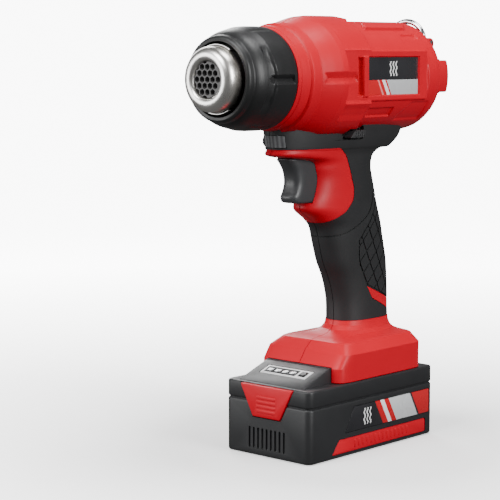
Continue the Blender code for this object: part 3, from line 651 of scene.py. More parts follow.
def plate_surface(y, angle, radius):
    """The flat plate: a plane cut into the shoulder and standing proud of the drum behind it."""
    sine = np.clip(np.sin(np.radians(angle)), 0.2, 1)
    flat = PLATE_X / sine
    z = flat * np.cos(np.radians(angle))
    inside = band(z, *PLATE_Z, 0.9) * band(y, *PLATE_Y, 0.8)
    floor = (PLATE_X - 1.3) / sine
    slot = (PLATE_X - 3.4) / sine
    bar = (PLATE_X + 1.1) / sine
    surface = flat
    label = band(z, *LABEL_Z, 0.22) * band(y, *LABEL_Y, 0.22)
    surface = surface + (floor - surface) * label
    pocket = band(z, *SLOT_Z, 0.4) * band(y, *SLOT_Y, 0.35)
    surface = surface + (slot - surface) * pocket
    upright = band(z, SLOT_Z[0] - 0.6, SLOT_Z[1] + 0.6, 0.7) * band(y, -13.2, -7.6, 0.5)
    surface = surface + (bar - surface) * upright
    valley = np.clip(1 - np.abs(angle - 89.3) / 5.8, 0, 1)
    surface = surface - 1.9 * valley * (1 - step(-19.6, -18.8, y))
    return radius + (surface - radius) * inside


def packed(low, high, pitch, edges, fine=0.3):
    """Places from low to high, with extra ones close to each listed edge."""
    places = set(np.round(np.arange(low, high + pitch / 2, pitch), 3))
    for edge in edges:
        places |= {round(edge + k * fine, 3) for k in (-3, -2, -1, 0, 1, 2, 3)}
    places = np.array(sorted(p for p in places | {low, high} if low <= p <= high))
    keep = np.concatenate([[True], np.diff(places) > fine * 0.45])
    keep[-1] = True
    return places[keep]


def make_drum_half(side):
    sign = 1 if side == "left" else -1
    rows = packed(-77.2, 80.0, 1.0, [-73.9, -68.7, -65.2, -64.6, -56.8, -53.5, -33.2, -18.2, -13.2, -9.4,
                                     -7.6, -4.7, -2.6, 12.0, 14.0, 28.0, 44.0, 56.4, 61.0, 63.0, 77.6])
    edges = [42.8, 22.0, 32.6, 46.5, 123.5, 134.5, 59.4, 63.4, 69.6, 83.5, 89.3, 95.1, 107.8, 110.5, 114.3]
    angles = packed(0.0, 180.0, 1.3, [0.6, 179.4] + edges, 0.45)
    y, angle = np.meshgrid(rows, angles, indexing="ij")
    radius = plate_surface(y, angle, drum_radius(y, angle))
    parting = 1 - step(0.0, 0.9, np.minimum(angle, 180 - angle))
    radius = radius - 0.45 * parting
    bore = [(79.9, 26.5), (77.1, 26.5), (76.9, 34.0), (-16.0, 34.0), (-77.2, 33.2)]
    inner_y = np.repeat([[p[0]] for p in bore], len(angles), axis=1)
    inner_r = np.repeat([[p[1]] for p in bore], len(angles), axis=1)
    inner_angle = np.repeat([angles], len(bore), axis=0)
    y = np.vstack([y, inner_y])
    radius = np.vstack([radius, inner_r])
    angle = np.radians(np.vstack([angle, inner_angle]))
    x = np.maximum(radius * np.sin(angle), 0.08) * sign
    points = np.stack([x, y, AXIS_Z + radius * np.cos(angle)], axis=-1)
    mesh = grid_mesh("drum_" + side, points, wrap_rows=True, cap_columns=True)
    drum = finish_mesh("drum_" + side, mesh, red_plastic, 28.0)
    slot = cutter("slot", (-60, -9.6, 219.5), (60, 8.8, 227.2))
    return cut(drum, slot)


drums = {side: make_drum_half(side) for side in ("left", "right")}
for side, drum in drums.items():
    placed(drum, "tool", "red_plastic", side + "_housing")

# %% [markdown]
# ## Nose collar
# The collar is turned like the drum, with a full circle of columns: a thin lip, a rounded ring, a
# hollow and a broad panel whose side carries a pointer-shaped groove in line with the drum's. A
# second helper turns plain closed profiles, which serve for the tube, discs, caps and screws.

# %% Turned profiles and the collar


def turned(name, profile, material, steps=128, centre=(0.0, AXIS_Z), sharp=32.0):
    """A closed (radius, y) profile turned about an axis along Y."""
    angles = np.linspace(0, 2 * math.pi, steps, endpoint=False)
    r, a = np.meshgrid([p[0] for p in profile], angles, indexing="ij")
    y = np.repeat([[p[1]] for p in profile], steps, axis=1)
    points = np.stack([centre[0] + r * np.sin(a), y, centre[1] + r * np.cos(a)], axis=-1)
    return finish_mesh(name, grid_mesh(name, points, wrap_rows=True, wrap_columns=True), material, sharp)


COLLAR = [(-119.5, 27.0), (-119.0, 28.2), (-117.8, 28.9), (-115.6, 29.2), (-114.3, 29.3), (-113.7, 30.0),
          (-111.6, 31.4), (-109.0, 32.4), (-106.0, 33.1), (-103.5, 33.6), (-99.0, 34.7), (-94.0, 35.0),
          (-84.0, 35.1), (-79.0, 34.9), (-77.9, 34.4)]


def collar_radius(y, angle):
    side_angle = np.minimum(angle, 360 - angle)
    radius = np.interp(y, [p[0] for p in COLLAR], [p[1] for p in COLLAR])
    flank = band(side_angle, 56.0, 124.0, 9.0)
    slant = -98.2 - 0.07 * np.abs(side_angle - 90)
    radius = radius - 1.5 * flank * band(y, -105.2, slant, 0.8)
    radius = radius - 0.5 * band(side_angle, 20.0, 24.0, 1.0) * band(y, -101.0, -84.0, 1.0)
    radius = radius - 0.5 * band(side_angle, 152.0, 156.0, 1.0) * band(y, -101.0, -84.0, 1.0)
    offset = side_angle - 89.0
    valley = np.clip(1 - np.abs(offset) / np.where(offset < 0, 4.4, 6.6), 0, 1)
    return radius - 2.4 * valley * band(y, -103.0 + 3.5 * (1 - valley), -81.2, 0.45)


def make_collar():
    rows = packed(-119.5, -77.9, 1.0, [-118.8, -114.3, -113.7, -105.2, -98.4, -81.2], 0.35)
    half = packed(0.0, 180.0, 2.0, [22.0, 84.6, 89.0, 95.6, 154.0], 0.6)
    angles = np.concatenate([half, 360 - half[-2:0:-1]])
    y, angle = np.meshgrid(rows, angles, indexing="ij")
    radius = collar_radius(y, angle)
    bore = [(-78.2, 33.0), (-104.0, 31.4), (-110.0, 27.4), (-116.0, 25.0), (-119.2, 25.2)]
    y = np.vstack([y, np.repeat([[p[0]] for p in bore], len(angles), axis=1)])
    radius = np.vstack([radius, np.repeat([[p[1]] for p in bore], len(angles), axis=1)])
    turn = np.radians(np.vstack([angle, np.repeat([angles], len(bore), axis=0)]))
    points = np.stack([radius * np.sin(turn), y, AXIS_Z + radius * np.cos(turn)], axis=-1)
    mesh = grid_mesh("collar", points, wrap_rows=True, wrap_columns=True)
    return finish_mesh("collar", mesh, black_plastic, 28.0)


placed(make_collar(), "tool", "black_plastic", "nose_collar")

# %% [markdown]
# ## Nozzle tube
# The steel tube is one closed profile, turned once: its front edge is rolled inwards round a large
# radius, and the wall then runs straight back. Two thin spring clips above and below it are drawn
# flat and bent round the same axis.

# %% Tube and clips
LIP = [(12.0, 4.2), (12.3, 2.4), (13.0, 1.0), (14.2, 0.25), (15.6, 0.0), (17.0, 0.1), (18.4, 0.6),
       (19.7, 1.5), (20.9, 2.9), (21.6, 4.6), (TUBE_R, 7.0), (TUBE_R, 12.0)]
TUBE_REAR = -66.0
TUBE_INNER = 21.0
TUBE = [(radius, TUBE_FRONT + back) for radius, back in LIP]
TUBE += [(TUBE_R, -90.0), (TUBE_R, TUBE_REAR), (TUBE_INNER, TUBE_REAR)]
TUBE += [(radius, TUBE_FRONT + back) for radius, back in ((TUBE_INNER, 8.0), (20.2, 5.4), (17.6, 4.6))]
placed(turned("tube", TUBE, tube_steel, 144, sharp=60.0), "tool", "steel", "outlet_tube")


def arc_piece(name, radii, y_range, angles, material, bevel=0.4):
    """A curved bar: a bevelled block drawn flat, then bent round the drum's axis."""
    (inner, outer), (low, high) = radii, np.radians(angles)
    work = bmesh.new()
    bmesh.ops.create_cube(work, size=1.0)
    size = (outer - inner, y_range[1] - y_range[0], (high - low) * outer)
    bmesh.ops.scale(work, vec=size, verts=work.verts)
    bmesh.ops.bevel(work, geom=work.edges[:], offset=bevel, segments=3, profile=0.5, affect="EDGES")
    for i in range(1, 24):
        place = size[2] * (i / 24 - 0.5)
        bmesh.ops.bisect_plane(work, geom=work.verts[:] + work.edges[:] + work.faces[:],
                               plane_co=(0, 0, place), plane_no=(0, 0, 1))
    for vert in work.verts:
        radius = (inner + outer) / 2 + vert.co.x
        angle = (low + high) / 2 + vert.co.z / outer
        y = (y_range[0] + y_range[1]) / 2 + vert.co.y
        vert.co = Vector((radius * math.sin(angle), y, AXIS_Z + radius * math.cos(angle))) * MM
    return finish_mesh(name, close_mesh(work, name), material)


for name, angles in (("upper_clip", (-32, 32)), ("lower_clip", (150, 210))):
    clip = arc_piece(name, (22.5, 23.3), (-120.6, -108.0), angles, plain_steel, 0.25)
    placed(clip, "tool", "steel")


# %% [markdown]
# ## Honeycomb and air guide
# The honeycomb is a disc with hexagons taken out of it by the tile tree, so the cells at its rim
# are cut off as they would be in a pressed part. Behind the fan a ring with six fixed vanes turns
# the air straight. It is never seen, but it is part of how the tool works.

# %% Honeycomb, guide ring and vanes


def hexagon(across, depth):
    """A hexagonal prism standing on Z, with a corner pointing along Y."""
    work = bmesh.new()
    bmesh.ops.create_cone(work, cap_ends=True, segments=6, radius1=across / math.sqrt(3) * MM,
                          radius2=across / math.sqrt(3) * MM, depth=depth * MM)
    bmesh.ops.bevel(work, geom=[e for e in work.edges if abs(e.verts[0].co.z - e.verts[1].co.z) > 1e-6],
                    offset=0.45 * MM, segments=2, profile=0.5, affect="EDGES")
    return finish_mesh("hexagon", close_mesh(work, "hexagon"), spare_material())


FACE_FRONT = Matrix.Rotation(math.pi / 2, 4, "X")
comb = turned("comb", [(0.05, -128.6), (11.9, -128.6), (11.9, -121.6), (0.05, -121.6)], ceramic, 96)
CELL_PITCH = 4.75
holes = tiles("comb_holes", hexagon(3.95, 12.0), 7, 7, (CELL_PITCH, CELL_PITCH * math.sqrt(3) / 2),
              spare_material(), shift=CELL_PITCH / 2, radius=13.2, turn=FACE_FRONT,
              at=(-CELL_PITCH / 2, -125.0, AXIS_Z))
cut(comb, holes)
placed(comb, "tool", "ceramic", "honeycomb")

GUIDE_RING = [(33.6, -34.0), (33.6, -22.0), (31.8, -21.6), (31.0, -28.0), (31.8, -34.4)]
GUIDE_HUB = [(0.05, -34.0), (11.0, -34.0), (13.6, -31.0), (14.0, -22.0), (0.05, -22.0)]
placed(turned("guide", GUIDE_RING, black_plastic, 72), "tool", "black_plastic", "air_guide")
for i in range(6):
    vane = block(f"guide_vane_{i + 1}", (-0.8, -33.0, 12.0), (0.8, -23.0, 32.0), black_plastic, 0.3, 2)
    turn = Matrix.Rotation(math.radians(60 * i + 12), 4, "Y")
    vane.data.transform(Matrix.Translation((0, 0, AXIS_Z * MM)) @ turn)
    placed(vane, "tool", "black_plastic")
placed(turned("guide_hub", GUIDE_HUB, black_plastic, 48), "tool", "black_plastic")

# %% [markdown]
# ## Back of the drum
# Two pads stand out behind the label plates, so the tool can rest on its back with the nozzle up.
# The intake cover is a turned disc with seven slots. Its slots are bars from the tile tree, kept
# inside a circle, so each slot's length follows the rim.

# %% Rear pads and intake cover
for side, angles in (("left", (71.5, 108.0)), ("right", (-108.0, -71.5))):
    pad = arc_piece(side + "_pad", (31.0, 38.4), (67.4, 86.6), angles, red_plastic, 1.3)
    placed(pad, "tool", "red_plastic", side + "_housing")
    root = arc_piece(side + "_pad_root", (30.0, 37.6), (65.6, 79.0), (angles[0] - 1.5, angles[1] + 1.5),
                     red_plastic, 0.8)
    placed(root, "tool", "red_plastic", side + "_housing")

COVER = [(0.05, 78.4), (20.0, 78.4), (22.0, 79.8), (25.4, 79.8), (26.2, 79.2), (26.3, 76.6),
         (29.4, 76.5), (29.4, 74.4), (0.05, 74.4)]
cover = turned("intake_cover", COVER, black_plastic, 96)
bars = tiles("slot_bars", cutter("bar", (-30, -1.6, -6), (30, 1.6, 6), 1.2, 3), 1, 7, (1.0, 6.6),
             spare_material(), turn=FACE_FRONT, at=(0, 77.0, AXIS_Z))
limit = turned("limit", [(0.05, 90.0), (21.6, 90.0), (21.6, 70.0), (0.05, 70.0)], spare_material(), 96)
trim(bars, limit)
placed(cut(cover, bars), "tool", "black_plastic", "rear_grille")
screen = turned("intake_screen", [(0.05, 74.2), (25.0, 74.2), (25.0, 73.7), (0.05, 73.7)], dark_pit, 64)
placed(screen, "tool", "black_plastic")


# %% [markdown]
# ## Hanging loop
# The loop is a chromed wire bent into a half circle, with its ends turned outwards into two ears on
# the housing. A wire is easiest as a poly curve with a bevel, made a mesh afterwards. The ears are
# pierced, so the loop can swing without cutting through them.

# %% Wire and ears


def wire(name, points, radius, material):
    """A smooth round wire through points, as a mesh with closed ends."""
    curve = bpy.data.curves.new(name, "CURVE")
    curve.dimensions = "3D"
    curve.bevel_depth = radius * MM
    curve.bevel_resolution = 7
    curve.use_fill_caps = True
    spline = curve.splines.new("POLY")
    spline.points.add(len(points) - 1)
    for target, point in zip(spline.points, points):
        target.co = (*(Vector(point) * MM), 1.0)
    holder = bpy.data.objects.new(name + "_curve", curve)
    bpy.context.scene.collection.objects.link(holder)
    bpy.context.view_layer.update()
    mesh = bpy.data.meshes.new_from_object(holder.evaluated_get(bpy.context.evaluated_depsgraph_get()))
    bpy.data.objects.remove(holder, do_unlink=True)
    work = bmesh.new()
    work.from_mesh(mesh)
    return finish_mesh(name, close_mesh(work, name), material, 60.0)


LOOP_Y, LOOP_Z, LOOP_R, WIRE_R = 85.5, 287.0, 16.0, 2.0
BEND = 1.2
HOLE_R = WIRE_R + 0.25
arc = [(LOOP_R * math.cos(a), LOOP_Y, LOOP_Z + BEND + (LOOP_R - BEND) * math.sin(a))
       for a in np.linspace(math.pi, 0, 40)]
ends = [(x, LOOP_Y, LOOP_Z + up) for x, up in ((-22.6, 0.0), (-18.6, 0.0), (-17.2, 0.2), (-16.3, 0.7))]
loop = wire("hanging_wire", ends + arc + [(-x, y, z) for x, y, z in reversed(ends)], WIRE_R, chrome)
placed(loop, "loop", "chrome", "hanging_loop")
EAR = [(76.0, 281.0), (86.5, 281.8), (88.6, 284.4), (88.9, 287.6), (87.6, 290.0), (85.0, 291.0),
       (82.0, 290.6), (76.0, 289.0)]
for sign, side in ((1, "left"), (-1, "right")):
    ear = prism(side + "_ear", EAR, sorted((18.6 * sign, 23.0 * sign)), red_plastic, 0.8)
    pivot = [(LOOP_Y + HOLE_R * math.cos(a), LOOP_Z + HOLE_R * math.sin(a))
             for a in np.linspace(0, 2 * math.pi, 32, endpoint=False)]
    cut(ear, prism("pivot_hole", pivot, (-30, 30)))
    placed(ear, "tool", "red_plastic", side + "_housing")

# %% [markdown]
# ## Labels without words
# The real tool carries a printed plate on each side. Here it is a thin plate with a dark band, a
# mark of three rising heat waves, and a lower strip that goes from red to silver over slanted
# bars. The print is made from the plate's own coordinates, mirrored on the other side.

# %% Side labels


WAVE_LENGTH = 5.0


def print_finish(name, sign, y_range, z_range, split, blocks=(), charcoal=(0.010, 0.010, 0.012)):
    """Printed plate: u runs from left to right as one looks at it, v from bottom to top."""
    look = Finish(name, 0.22, coat=0.4)
    length, height = y_range[1] - y_range[0], z_range[1] - z_range[0]
    u = (look.y - y_range[0]) / length if sign > 0 else (y_range[1] - look.y) / length
    v = (look.z - z_range[0]) / height
    across, up = u * length, v * height
    red, silver, white = (0.56, 0.006, 0.012), (0.50, 0.51, 0.52), (0.86, 0.86, 0.86)
    slanted = across + up * 0.55
    strip = look.mix(slanted > length * 0.46, red, silver)
    strip = look.mix(slanted.between(length * 0.37, length * 0.43), strip, white)
    strip = look.mix(slanted.between(length * 0.28, length * 0.31), strip, (0.80, 0.25, 0.25))
    shine = look.noise(0.05, 2.0)
    upper = look.mix(shine * 0.5, charcoal, (0.03, 0.03, 0.034))
    wave = (up * (2 * math.pi / WAVE_LENGTH)).maths("SINE") * 0.55
    for start, end, color in blocks:
        upper = look.mix(slanted.between(length * start, length * end), upper, color)
    marks, first = 0.0, length * (0.22 if blocks else 0.44)
    for i in range(3):
        line = ((across + wave) - (first + i * 3.2)).absolute() < 0.62
        marks = line + marks
    marks = marks * up.between(max(height * split, 0) + 2.6, height - 2.8)
    upper = look.mix(marks, upper, (0.80, 0.80, 0.80))
    look.set(Base_Color=look.mix(v > split, strip, upper), Roughness=shine * 0.15 + 0.2)
    return look.bump(look.noise(0.8, 2.0), 0.01, 0.3).material


for side, sign in (("left", 1), ("right", -1)):
    y_range, z_range = (-6.1, 50.7), (AXIS_Z - 12.1, AXIS_Z + 14.1)
    printed = print_finish(side + "_print", sign, y_range, z_range, 0.40)
    low, high = sorted((36.2 * sign, 37.05 * sign))
    corners = zip((low, high), y_range, z_range)
    plate = block(side + "_plate", *corners, printed, 0.25, 2)
    placed(plate, "tool", "label_print", side + "_label")

# %% [markdown]
# ## Handle
# The handle and the neck are lofts: rounded sections set one above the other, with a rounder
# front than back. The black grip is the part of that volume inside a side-view outline, and the
# red trigger panel is the same volume a little smaller, so the rubber stands proud of it all
# along their common edge. Grooves are taken out to a constant depth by removing an inner loft
# from the cutter first.

# %% Lofts
HANDLE = [(82.0, 2.0, 55.0, 16.6), (88.2, 2.4, 54.1, 16.3), (103.7, 1.4, 54.0, 16.0),
          (118.7, -3.3, 53.6, 16.0), (131.3, -9.9, 52.4, 16.3), (145.4, -14.5, 48.6, 16.8),
          (157.6, -18.2, 45.4, 17.2), (164.0, -26.0, 43.5, 17.3), (170.0, -35.2, 41.8, 17.4),
          (175.0, -35.6, 40.2, 17.4), (182.6, -32.0, 37.6, 17.6), (191.8, -29.5, 34.5, 17.8),
          (198.5, -31.0, 32.6, 18.0), (205.0, -36.0, 34.0, 18.0), (209.5, -64.6, 40.0, 18.2),
          (214.5, -64.9, 50.0, 19.0), (222.0, -64.5, 50.0, 18.6)]
NECK = [(212.4, -64.6, 54.0, 18.6), (214.2, -65.6, 57.0, 19.6), (219.0, -66.4, 63.6, 20.4),
        (225.0, -67.4, 68.0, 20.8), (231.2, -68.1, 70.5, 21.0), (240.0, -67.0, 70.0, 21.0)]
TRIGGER_GAP = 0.35


def ring_of(front, rear, half, front_power, rear_power, count, share=0.5):
    """One rounded section seen from above, with its own roundness at the front and the back."""
    angle = np.linspace(0, 2 * math.pi, count, endpoint=False)
    sine, cosine = np.sin(angle), np.cos(angle)
    power = np.where(cosine > 0, 2 / front_power, 2 / rear_power)
    middle = front + (rear - front) * share
    length = np.where(cosine > 0, middle - front, rear - middle)
    x = half * np.sign(sine) * np.abs(sine) ** power
    y = middle - length * np.sign(cosine) * np.abs(cosine) ** power
    return x, y


def loft(name, sections, grow=0.0, powers=(2.6, 2.8), count=112, rows=90, share=0.5, material=None,
         smooth=True, stretch=0.0, sharp=40.0):
    """Sections are (z, front, rear, half width), with two powers of their own at the end if they differ."""
    rows_in = np.array(sections, float)
    levels = resample(rows_in, rows) if smooth else rows_in
    rings = []
    for i, (z, front, rear, half, *own) in enumerate(levels):
        x, y = ring_of(front - grow, rear + grow, half + grow, *(own or powers), count, share)
        lift = -stretch if i == 0 else stretch if i == len(levels) - 1 else 0.0
        rings.append(np.stack([x, y, np.full(count, z + lift)], axis=-1))
    mesh = grid_mesh(name, np.array(rings), wrap_columns=True, cap_rows=True)
    return finish_mesh(name, mesh, material or spare_material(), sharp)


def handle_volume(grow, material=None):
    """Handle and neck as one closed body."""
    body = loft("handle_volume", HANDLE, grow, (2.5, 2.9), material=material, stretch=grow * 0.01)
    neck = loft("neck_volume", NECK, grow, (2.3, 3.4), rows=30, share=0.42, stretch=grow * 0.013)
    return join(body, neck)


def half_space(side, gap=0.25):
    x_range = (gap, 60.0) if side == "left" else (-60.0, -gap)
    return prism("half_space", [(-120, 20), (120, 20), (120, 300), (-120, 300)], x_range)


# %% [markdown]
# ## Outlines
# The edges between rubber and red plastic are drawn as side-view outlines with straight runs. One
# helper moves an outline outwards or inwards for a gap, another rounds its corners, and a third
# gives a line a width, so that it can be cut as a groove.

# %% Outline helpers and the handle's outlines


def shifted(outline, amount):
    """Move an outline's edges outwards, whichever way round it is drawn."""
    area = sum(a[0] * b[1] - b[0] * a[1] for a, b in zip(outline, outline[1:] + outline[:1]))
    amount = amount if area > 0 else -amount
    count, moved = len(outline), []
    for i in range(count):
        before, here, after = (np.array(outline[k % count], float) for k in (i - 1, i, i + 1))
        a, b = here - before, after - here
        na = np.array([a[1], -a[0]]) / np.linalg.norm(a)
        nb = np.array([b[1], -b[0]]) / np.linalg.norm(b)
        push = (na + nb) / max(0.35, 1 + float(na @ nb))
        moved.append(tuple(here + push * amount))
    return moved


def rounded_outline(outline, radius, steps=5):
    """Round each corner of an outline with a short quadratic curve."""
    result, count = [], len(outline)
    for i in range(count):
        before, here, after = (np.array(outline[k % count], float) for k in (i - 1, i, i + 1))
        a, b = before - here, after - here
        reach = min(radius, np.linalg.norm(a) * 0.45, np.linalg.norm(b) * 0.45)
        start, end = here + a / np.linalg.norm(a) * reach, here + b / np.linalg.norm(b) * reach
        for t in np.linspace(0, 1, steps):
            result.append(tuple((1 - t) ** 2 * start + 2 * t * (1 - t) * here + t * t * end))
    return result


GRIP = [(-80.0, 214.2), (-13.6, 214.2), (-6.2, 208.8), (-2.5, 200.5), (3.5, 184.8), (3.3, 176.6),
        (-4.1, 168.8), (-20.6, 160.5), (-40.0, 152.0), (-40.0, 88.6), (90.0, 88.6), (90.0, 231.2),
        (6.0, 231.2), (-14.0, 224.3), (-40.0, 224.5), (-50.0, 228.5), (-80.0, 228.5)]
ACCENT = [(21.1, 112.6), (27.0, 103.5), (45.5, 94.8), (70.0, 85.0), (70.0, 92.0), (45.5, 102.2)]
GROOVE = [(-45.0, 148.2), (-27.6, 149.4), (-13.0, 151.0), (-2.2, 153.6), (10.0, 159.0), (20.4, 165.6),
          (25.5, 172.5), (28.4, 181.5)]
LATTICE = [(11.2, 146.8), (11.6, 137.0), (13.4, 128.0), (20.6, 114.6), (46.0, 103.4), (70.0, 93.0),
           (70.0, 176.0), (32.4, 176.0), (29.4, 168.0), (22.0, 158.6)]


def ribbon(points, width):
    """An outline of constant width round a polyline."""
    points = np.array(points, float)
    along = np.gradient(points, axis=0)
    normal = np.stack([-along[:, 1], along[:, 0]], axis=1)
    normal /= np.linalg.norm(normal, axis=1)[:, None]
    side = normal * width / 2
    return [tuple(p) for p in np.vstack([points + side, (points - side)[::-1]])]


# %% [markdown]
# ## Anti-slip net
# The palm's net of grooves is what stays between diamond pads. The pads follow two slanted steps
# from one corner of the field, so they are made by a loop, and taken out of the field's outline.
# The result goes only to a small depth, because an inner copy of the handle is taken away from it.

# %% Pads and engraving
STEEP, FLAT = np.array([-4.4, 8.2]), np.array([7.0, 7.2])
FIELD_CORNER = np.array([21.0, 114.6])
PAD = ((0.05, 0.05), (0.95, 0.05), (0.95, 0.95), (0.05, 0.95))
GROOVE_DEPTH = 0.85


def lattice_pads():
    """Slanted diamonds between two families of lines, as separate prisms in one mesh."""
    work = bmesh.new()
    for i in range(-9, 13):
        for j in range(-9, 13):
            corners = [FIELD_CORNER + STEEP * (i + u) + FLAT * (j + v) for u, v in PAD]
            rings = [[work.verts.new((x * MM, y * MM, z * MM)) for y, z in rounded_outline(corners, 1.2, 3)]
                     for x in (-40, 40)]
            work.faces.new(rings[0])
            work.faces.new(rings[1])
            for k in range(len(rings[0])):
                m = (k + 1) % len(rings[0])
                work.faces.new((rings[0][k], rings[0][m], rings[1][m], rings[1][k]))
    return finish_mesh("pads", close_mesh(work, "pads"), spare_material())


def engraving(depth):
    """Everything that is cut into the grip's skin: the long groove and the net between the pads."""
    net = cut(prism("net", LATTICE, (-39, 39)), lattice_pads())
    rim = cut(prism("rim", shifted(LATTICE, 0.9), (-39, 39)),
                  prism("rim_inner", LATTICE, (-41, 41)))
    groove = prism("groove", ribbon(resample(GROOVE, 40), 0.95), (-39, 39))
    result = join(join(net, rim), groove)
    return cut(result, handle_volume(-depth))


# %% [markdown]
# ## Grip, panel, accent and lamp
# Every piece of the handle is cut from copies of the same volume. The trigger's slot, the
# selector's slot and the lamp's seat are taken out of all of them, so the moving pieces are free.

# %% Handle pieces


def openings(obj):
    """Slots for the trigger and the selector, and the handle's hollow."""
    slot = cutter("trigger_slot", (-8.3 - TRIGGER_GAP, -80.0, 175.8), (8.3 + TRIGGER_GAP, -9.8, 208.4))
    hole = cutter("selector_slot", (-60.0, -9.6, 220.0), (60.0, 8.6, 227.0))
    inside = loft("handle_hollow", HANDLE, -3.4, (2.5, 2.9))
    trim(inside, cutter("hollow_limit", (-30, -90, 91.0), (30, 90, 206.0)))
    return cut(obj, slot, hole, inside)


def drum_space():
    """A bore for the drum, which sits on the neck."""
    bore = [(0.05, -90.0), (34.2, -90.0), (34.2, 90.0), (0.05, 90.0)]
    return turned("drum_space", bore, spare_material(), 72)


SELECTOR_POCKET = [(-21.5, 219.4), (9.5, 219.4), (9.5, 228.6), (2.0, 232.8), (-7.5, 232.8)]


def make_grip(side):
    """The rubber: the handle inside the grip's outline, with its grooves, pocket and lamp seat."""
    region = prism("region", rounded_outline(GRIP, 3.0), (-50, 50))
    grip = trim(handle_volume(0.0, grip_rubber), region)
    cut(grip, drum_space())
    openings(grip)
    pocket = prism("pocket", rounded_outline(SELECTOR_POCKET, 1.5, 3), (-50, 50))
    cut(pocket, cutter("core", (-17.2, -40, 200), (17.2, 40, 250)))
    cut(grip, engraving(GROOVE_DEPTH), prism("accent_space", shifted(ACCENT, 0.45), (-50, 50)), pocket,
        cutter("lamp_seat", (-9.9, -90, 215.3), (9.9, -58.0, 224.3), 0.4))
    trim(grip, half_space(side))
    grip.name = side + "_handle_grip"
    return grip


def make_panel(side):
    """The red skin round the trigger: the handle a little smaller, less what the grip covers."""
    panel = openings(handle_volume(-0.45, red_plastic))
    under_grip = prism("under_grip", rounded_outline(shifted(GRIP, -1.2), 3.0), (-50, 50))
    cut(panel, drum_space(), cutter("panel_top", (-60, -90, 214.8), (60, 90, 260)), under_grip)
    trim(panel, half_space(side))
    panel.name = side + "_trigger_panel"
    return panel


def make_seam_lip():
    """The tongue inside the handle's seam, so that no light comes through between the halves."""
    lip = openings(handle_volume(-0.9, black_plastic))
    cut(lip, drum_space(), cutter("lamp_space", (-9.8, -90, 215.4), (9.8, -58.7, 224.2)))
    lip.name = "seam_lip"
    return trim(lip, cutter("lip_slab", (-1.4, -90, 60), (1.4, 90, 260)))


placed(make_seam_lip(), "tool", "black_plastic")
for side in ("left", "right"):
    placed(make_grip(side), "tool", "grip_rubber", side + "_grip")
    placed(make_panel(side), "tool", "red_plastic", side + "_housing")
    accent = trim(handle_volume(-0.1, red_plastic), prism("accent", ACCENT, (-50, 50)))
    trim(accent, half_space(side))
    accent.name = side + "_accent"
    placed(accent, "tool", "red_plastic", side + "_grip_accent")

# %% [markdown]
# ## Trigger
# The trigger is a loft whose front edge follows a finger: wide at the top, hollow in the middle and
# with a lip at the bottom. A flange behind it keeps it in its slot.

# %% Trigger blade
TRIGGER = [(176.2, -47.0, -17.0, 7.2), (177.2, -49.6, -17.0, 8.1), (180.6, -50.7, -17.0, 8.3),
           (184.5, -48.6, -17.0, 8.3), (189.5, -46.9, -17.0, 8.3), (194.5, -47.2, -17.0, 8.3),
           (199.6, -49.0, -17.0, 8.3), (204.0, -52.3, -17.0, 8.3), (206.6, -54.9, -17.0, 8.1),
           (207.8, -54.6, -17.0, 7.4)]
trigger = loft("trigger_blade", TRIGGER, 0.0, (3.0, 8.0), rows=60, share=0.3, material=trigger_plastic)
flange = block("trigger_flange", (-9.5, -19.6, 177.2), (9.5, -17.0, 205.4), black_plastic, 0.4)
placed(join(trigger, flange), "trigger", "black_plastic", "trigger")


# %% [markdown]
# ## Lamp
# The lamp's window follows the neck's front, because it is cut from the neck's own loft. Its finish
# is a clouded, coated plastic with fine upright ribs. A small board stands behind it.

# %% Window and lamp board


def lens_finish():
    """Clouded clear plastic with the reflector's ribs showing through it."""
    look = Finish("clear_lens", 0.12, coat=1.0)
    ribs = (look.x * 2.2).maths("SINE") * 0.5 + 0.5
    cloud = look.noise(0.25, 3.0)
    look.set(Base_Color=look.mix(ribs * 0.5 + cloud * 0.35, (0.03, 0.03, 0.033), (0.17, 0.175, 0.18)))
    look.set(Roughness=cloud * 0.2 + 0.06)
    return look.bump(ribs, 0.15, 0.5).material


clear_lens = lens_finish()
lens = loft("lamp_window", NECK, -0.35, (2.3, 3.4), rows=30, share=0.42, material=clear_lens)
trim(lens, cutter("window_space", (-9.5, -90, 215.7), (9.5, -59.0, 223.9), 0.8))
placed(lens, "tool", "clear_lens", "led_lens")

board = block("lamp_board", (-6.5, -61.6, 216.0), (6.5, -60.4, 223.6), circuit_board, 0.2, 1)
placed(board, "tool", "circuit_board", "led_board")

# %% [markdown]
# ## Heat selector
# The selector is a slanted bar with ridges on its ends, free to slide across the neck. Its middle
# fills the slot, so nothing can be seen through the tool.

# %% Selector slide
selector_grey = moulded("selector_grey", (0.022, 0.022, 0.023), (0.036, 0.036, 0.038), 0.42)
SLIDE = [(-8.8, 220.9), (7.2, 220.9), (8.0, 226.2), (-1.8, 226.2), (-4.6, 225.0)]
SLIDE_END, RIDGE_X = 23.9, 24.0
slide = prism("selector_slide", rounded_outline(SLIDE, 0.8, 3), (-SLIDE_END, SLIDE_END), selector_grey, 0.5)
for end in (-RIDGE_X, RIDGE_X):
    ridge = cutter("ridge", (-0.5, -0.35, -3.0), (0.5, 0.35, 3.0), 0.2, 2)
    cut(slide, tiles("ridges", ridge, 1, 5, (1.0, 2.3), spare_material(), at=(end, 1.6, 223.5)))
join(slide, cutter("selector_core", (-12.5, -9.2, 220.4), (12.5, 8.2, 226.6), 0.3))
placed(slide, "selector", "black_plastic", "heat_selector")
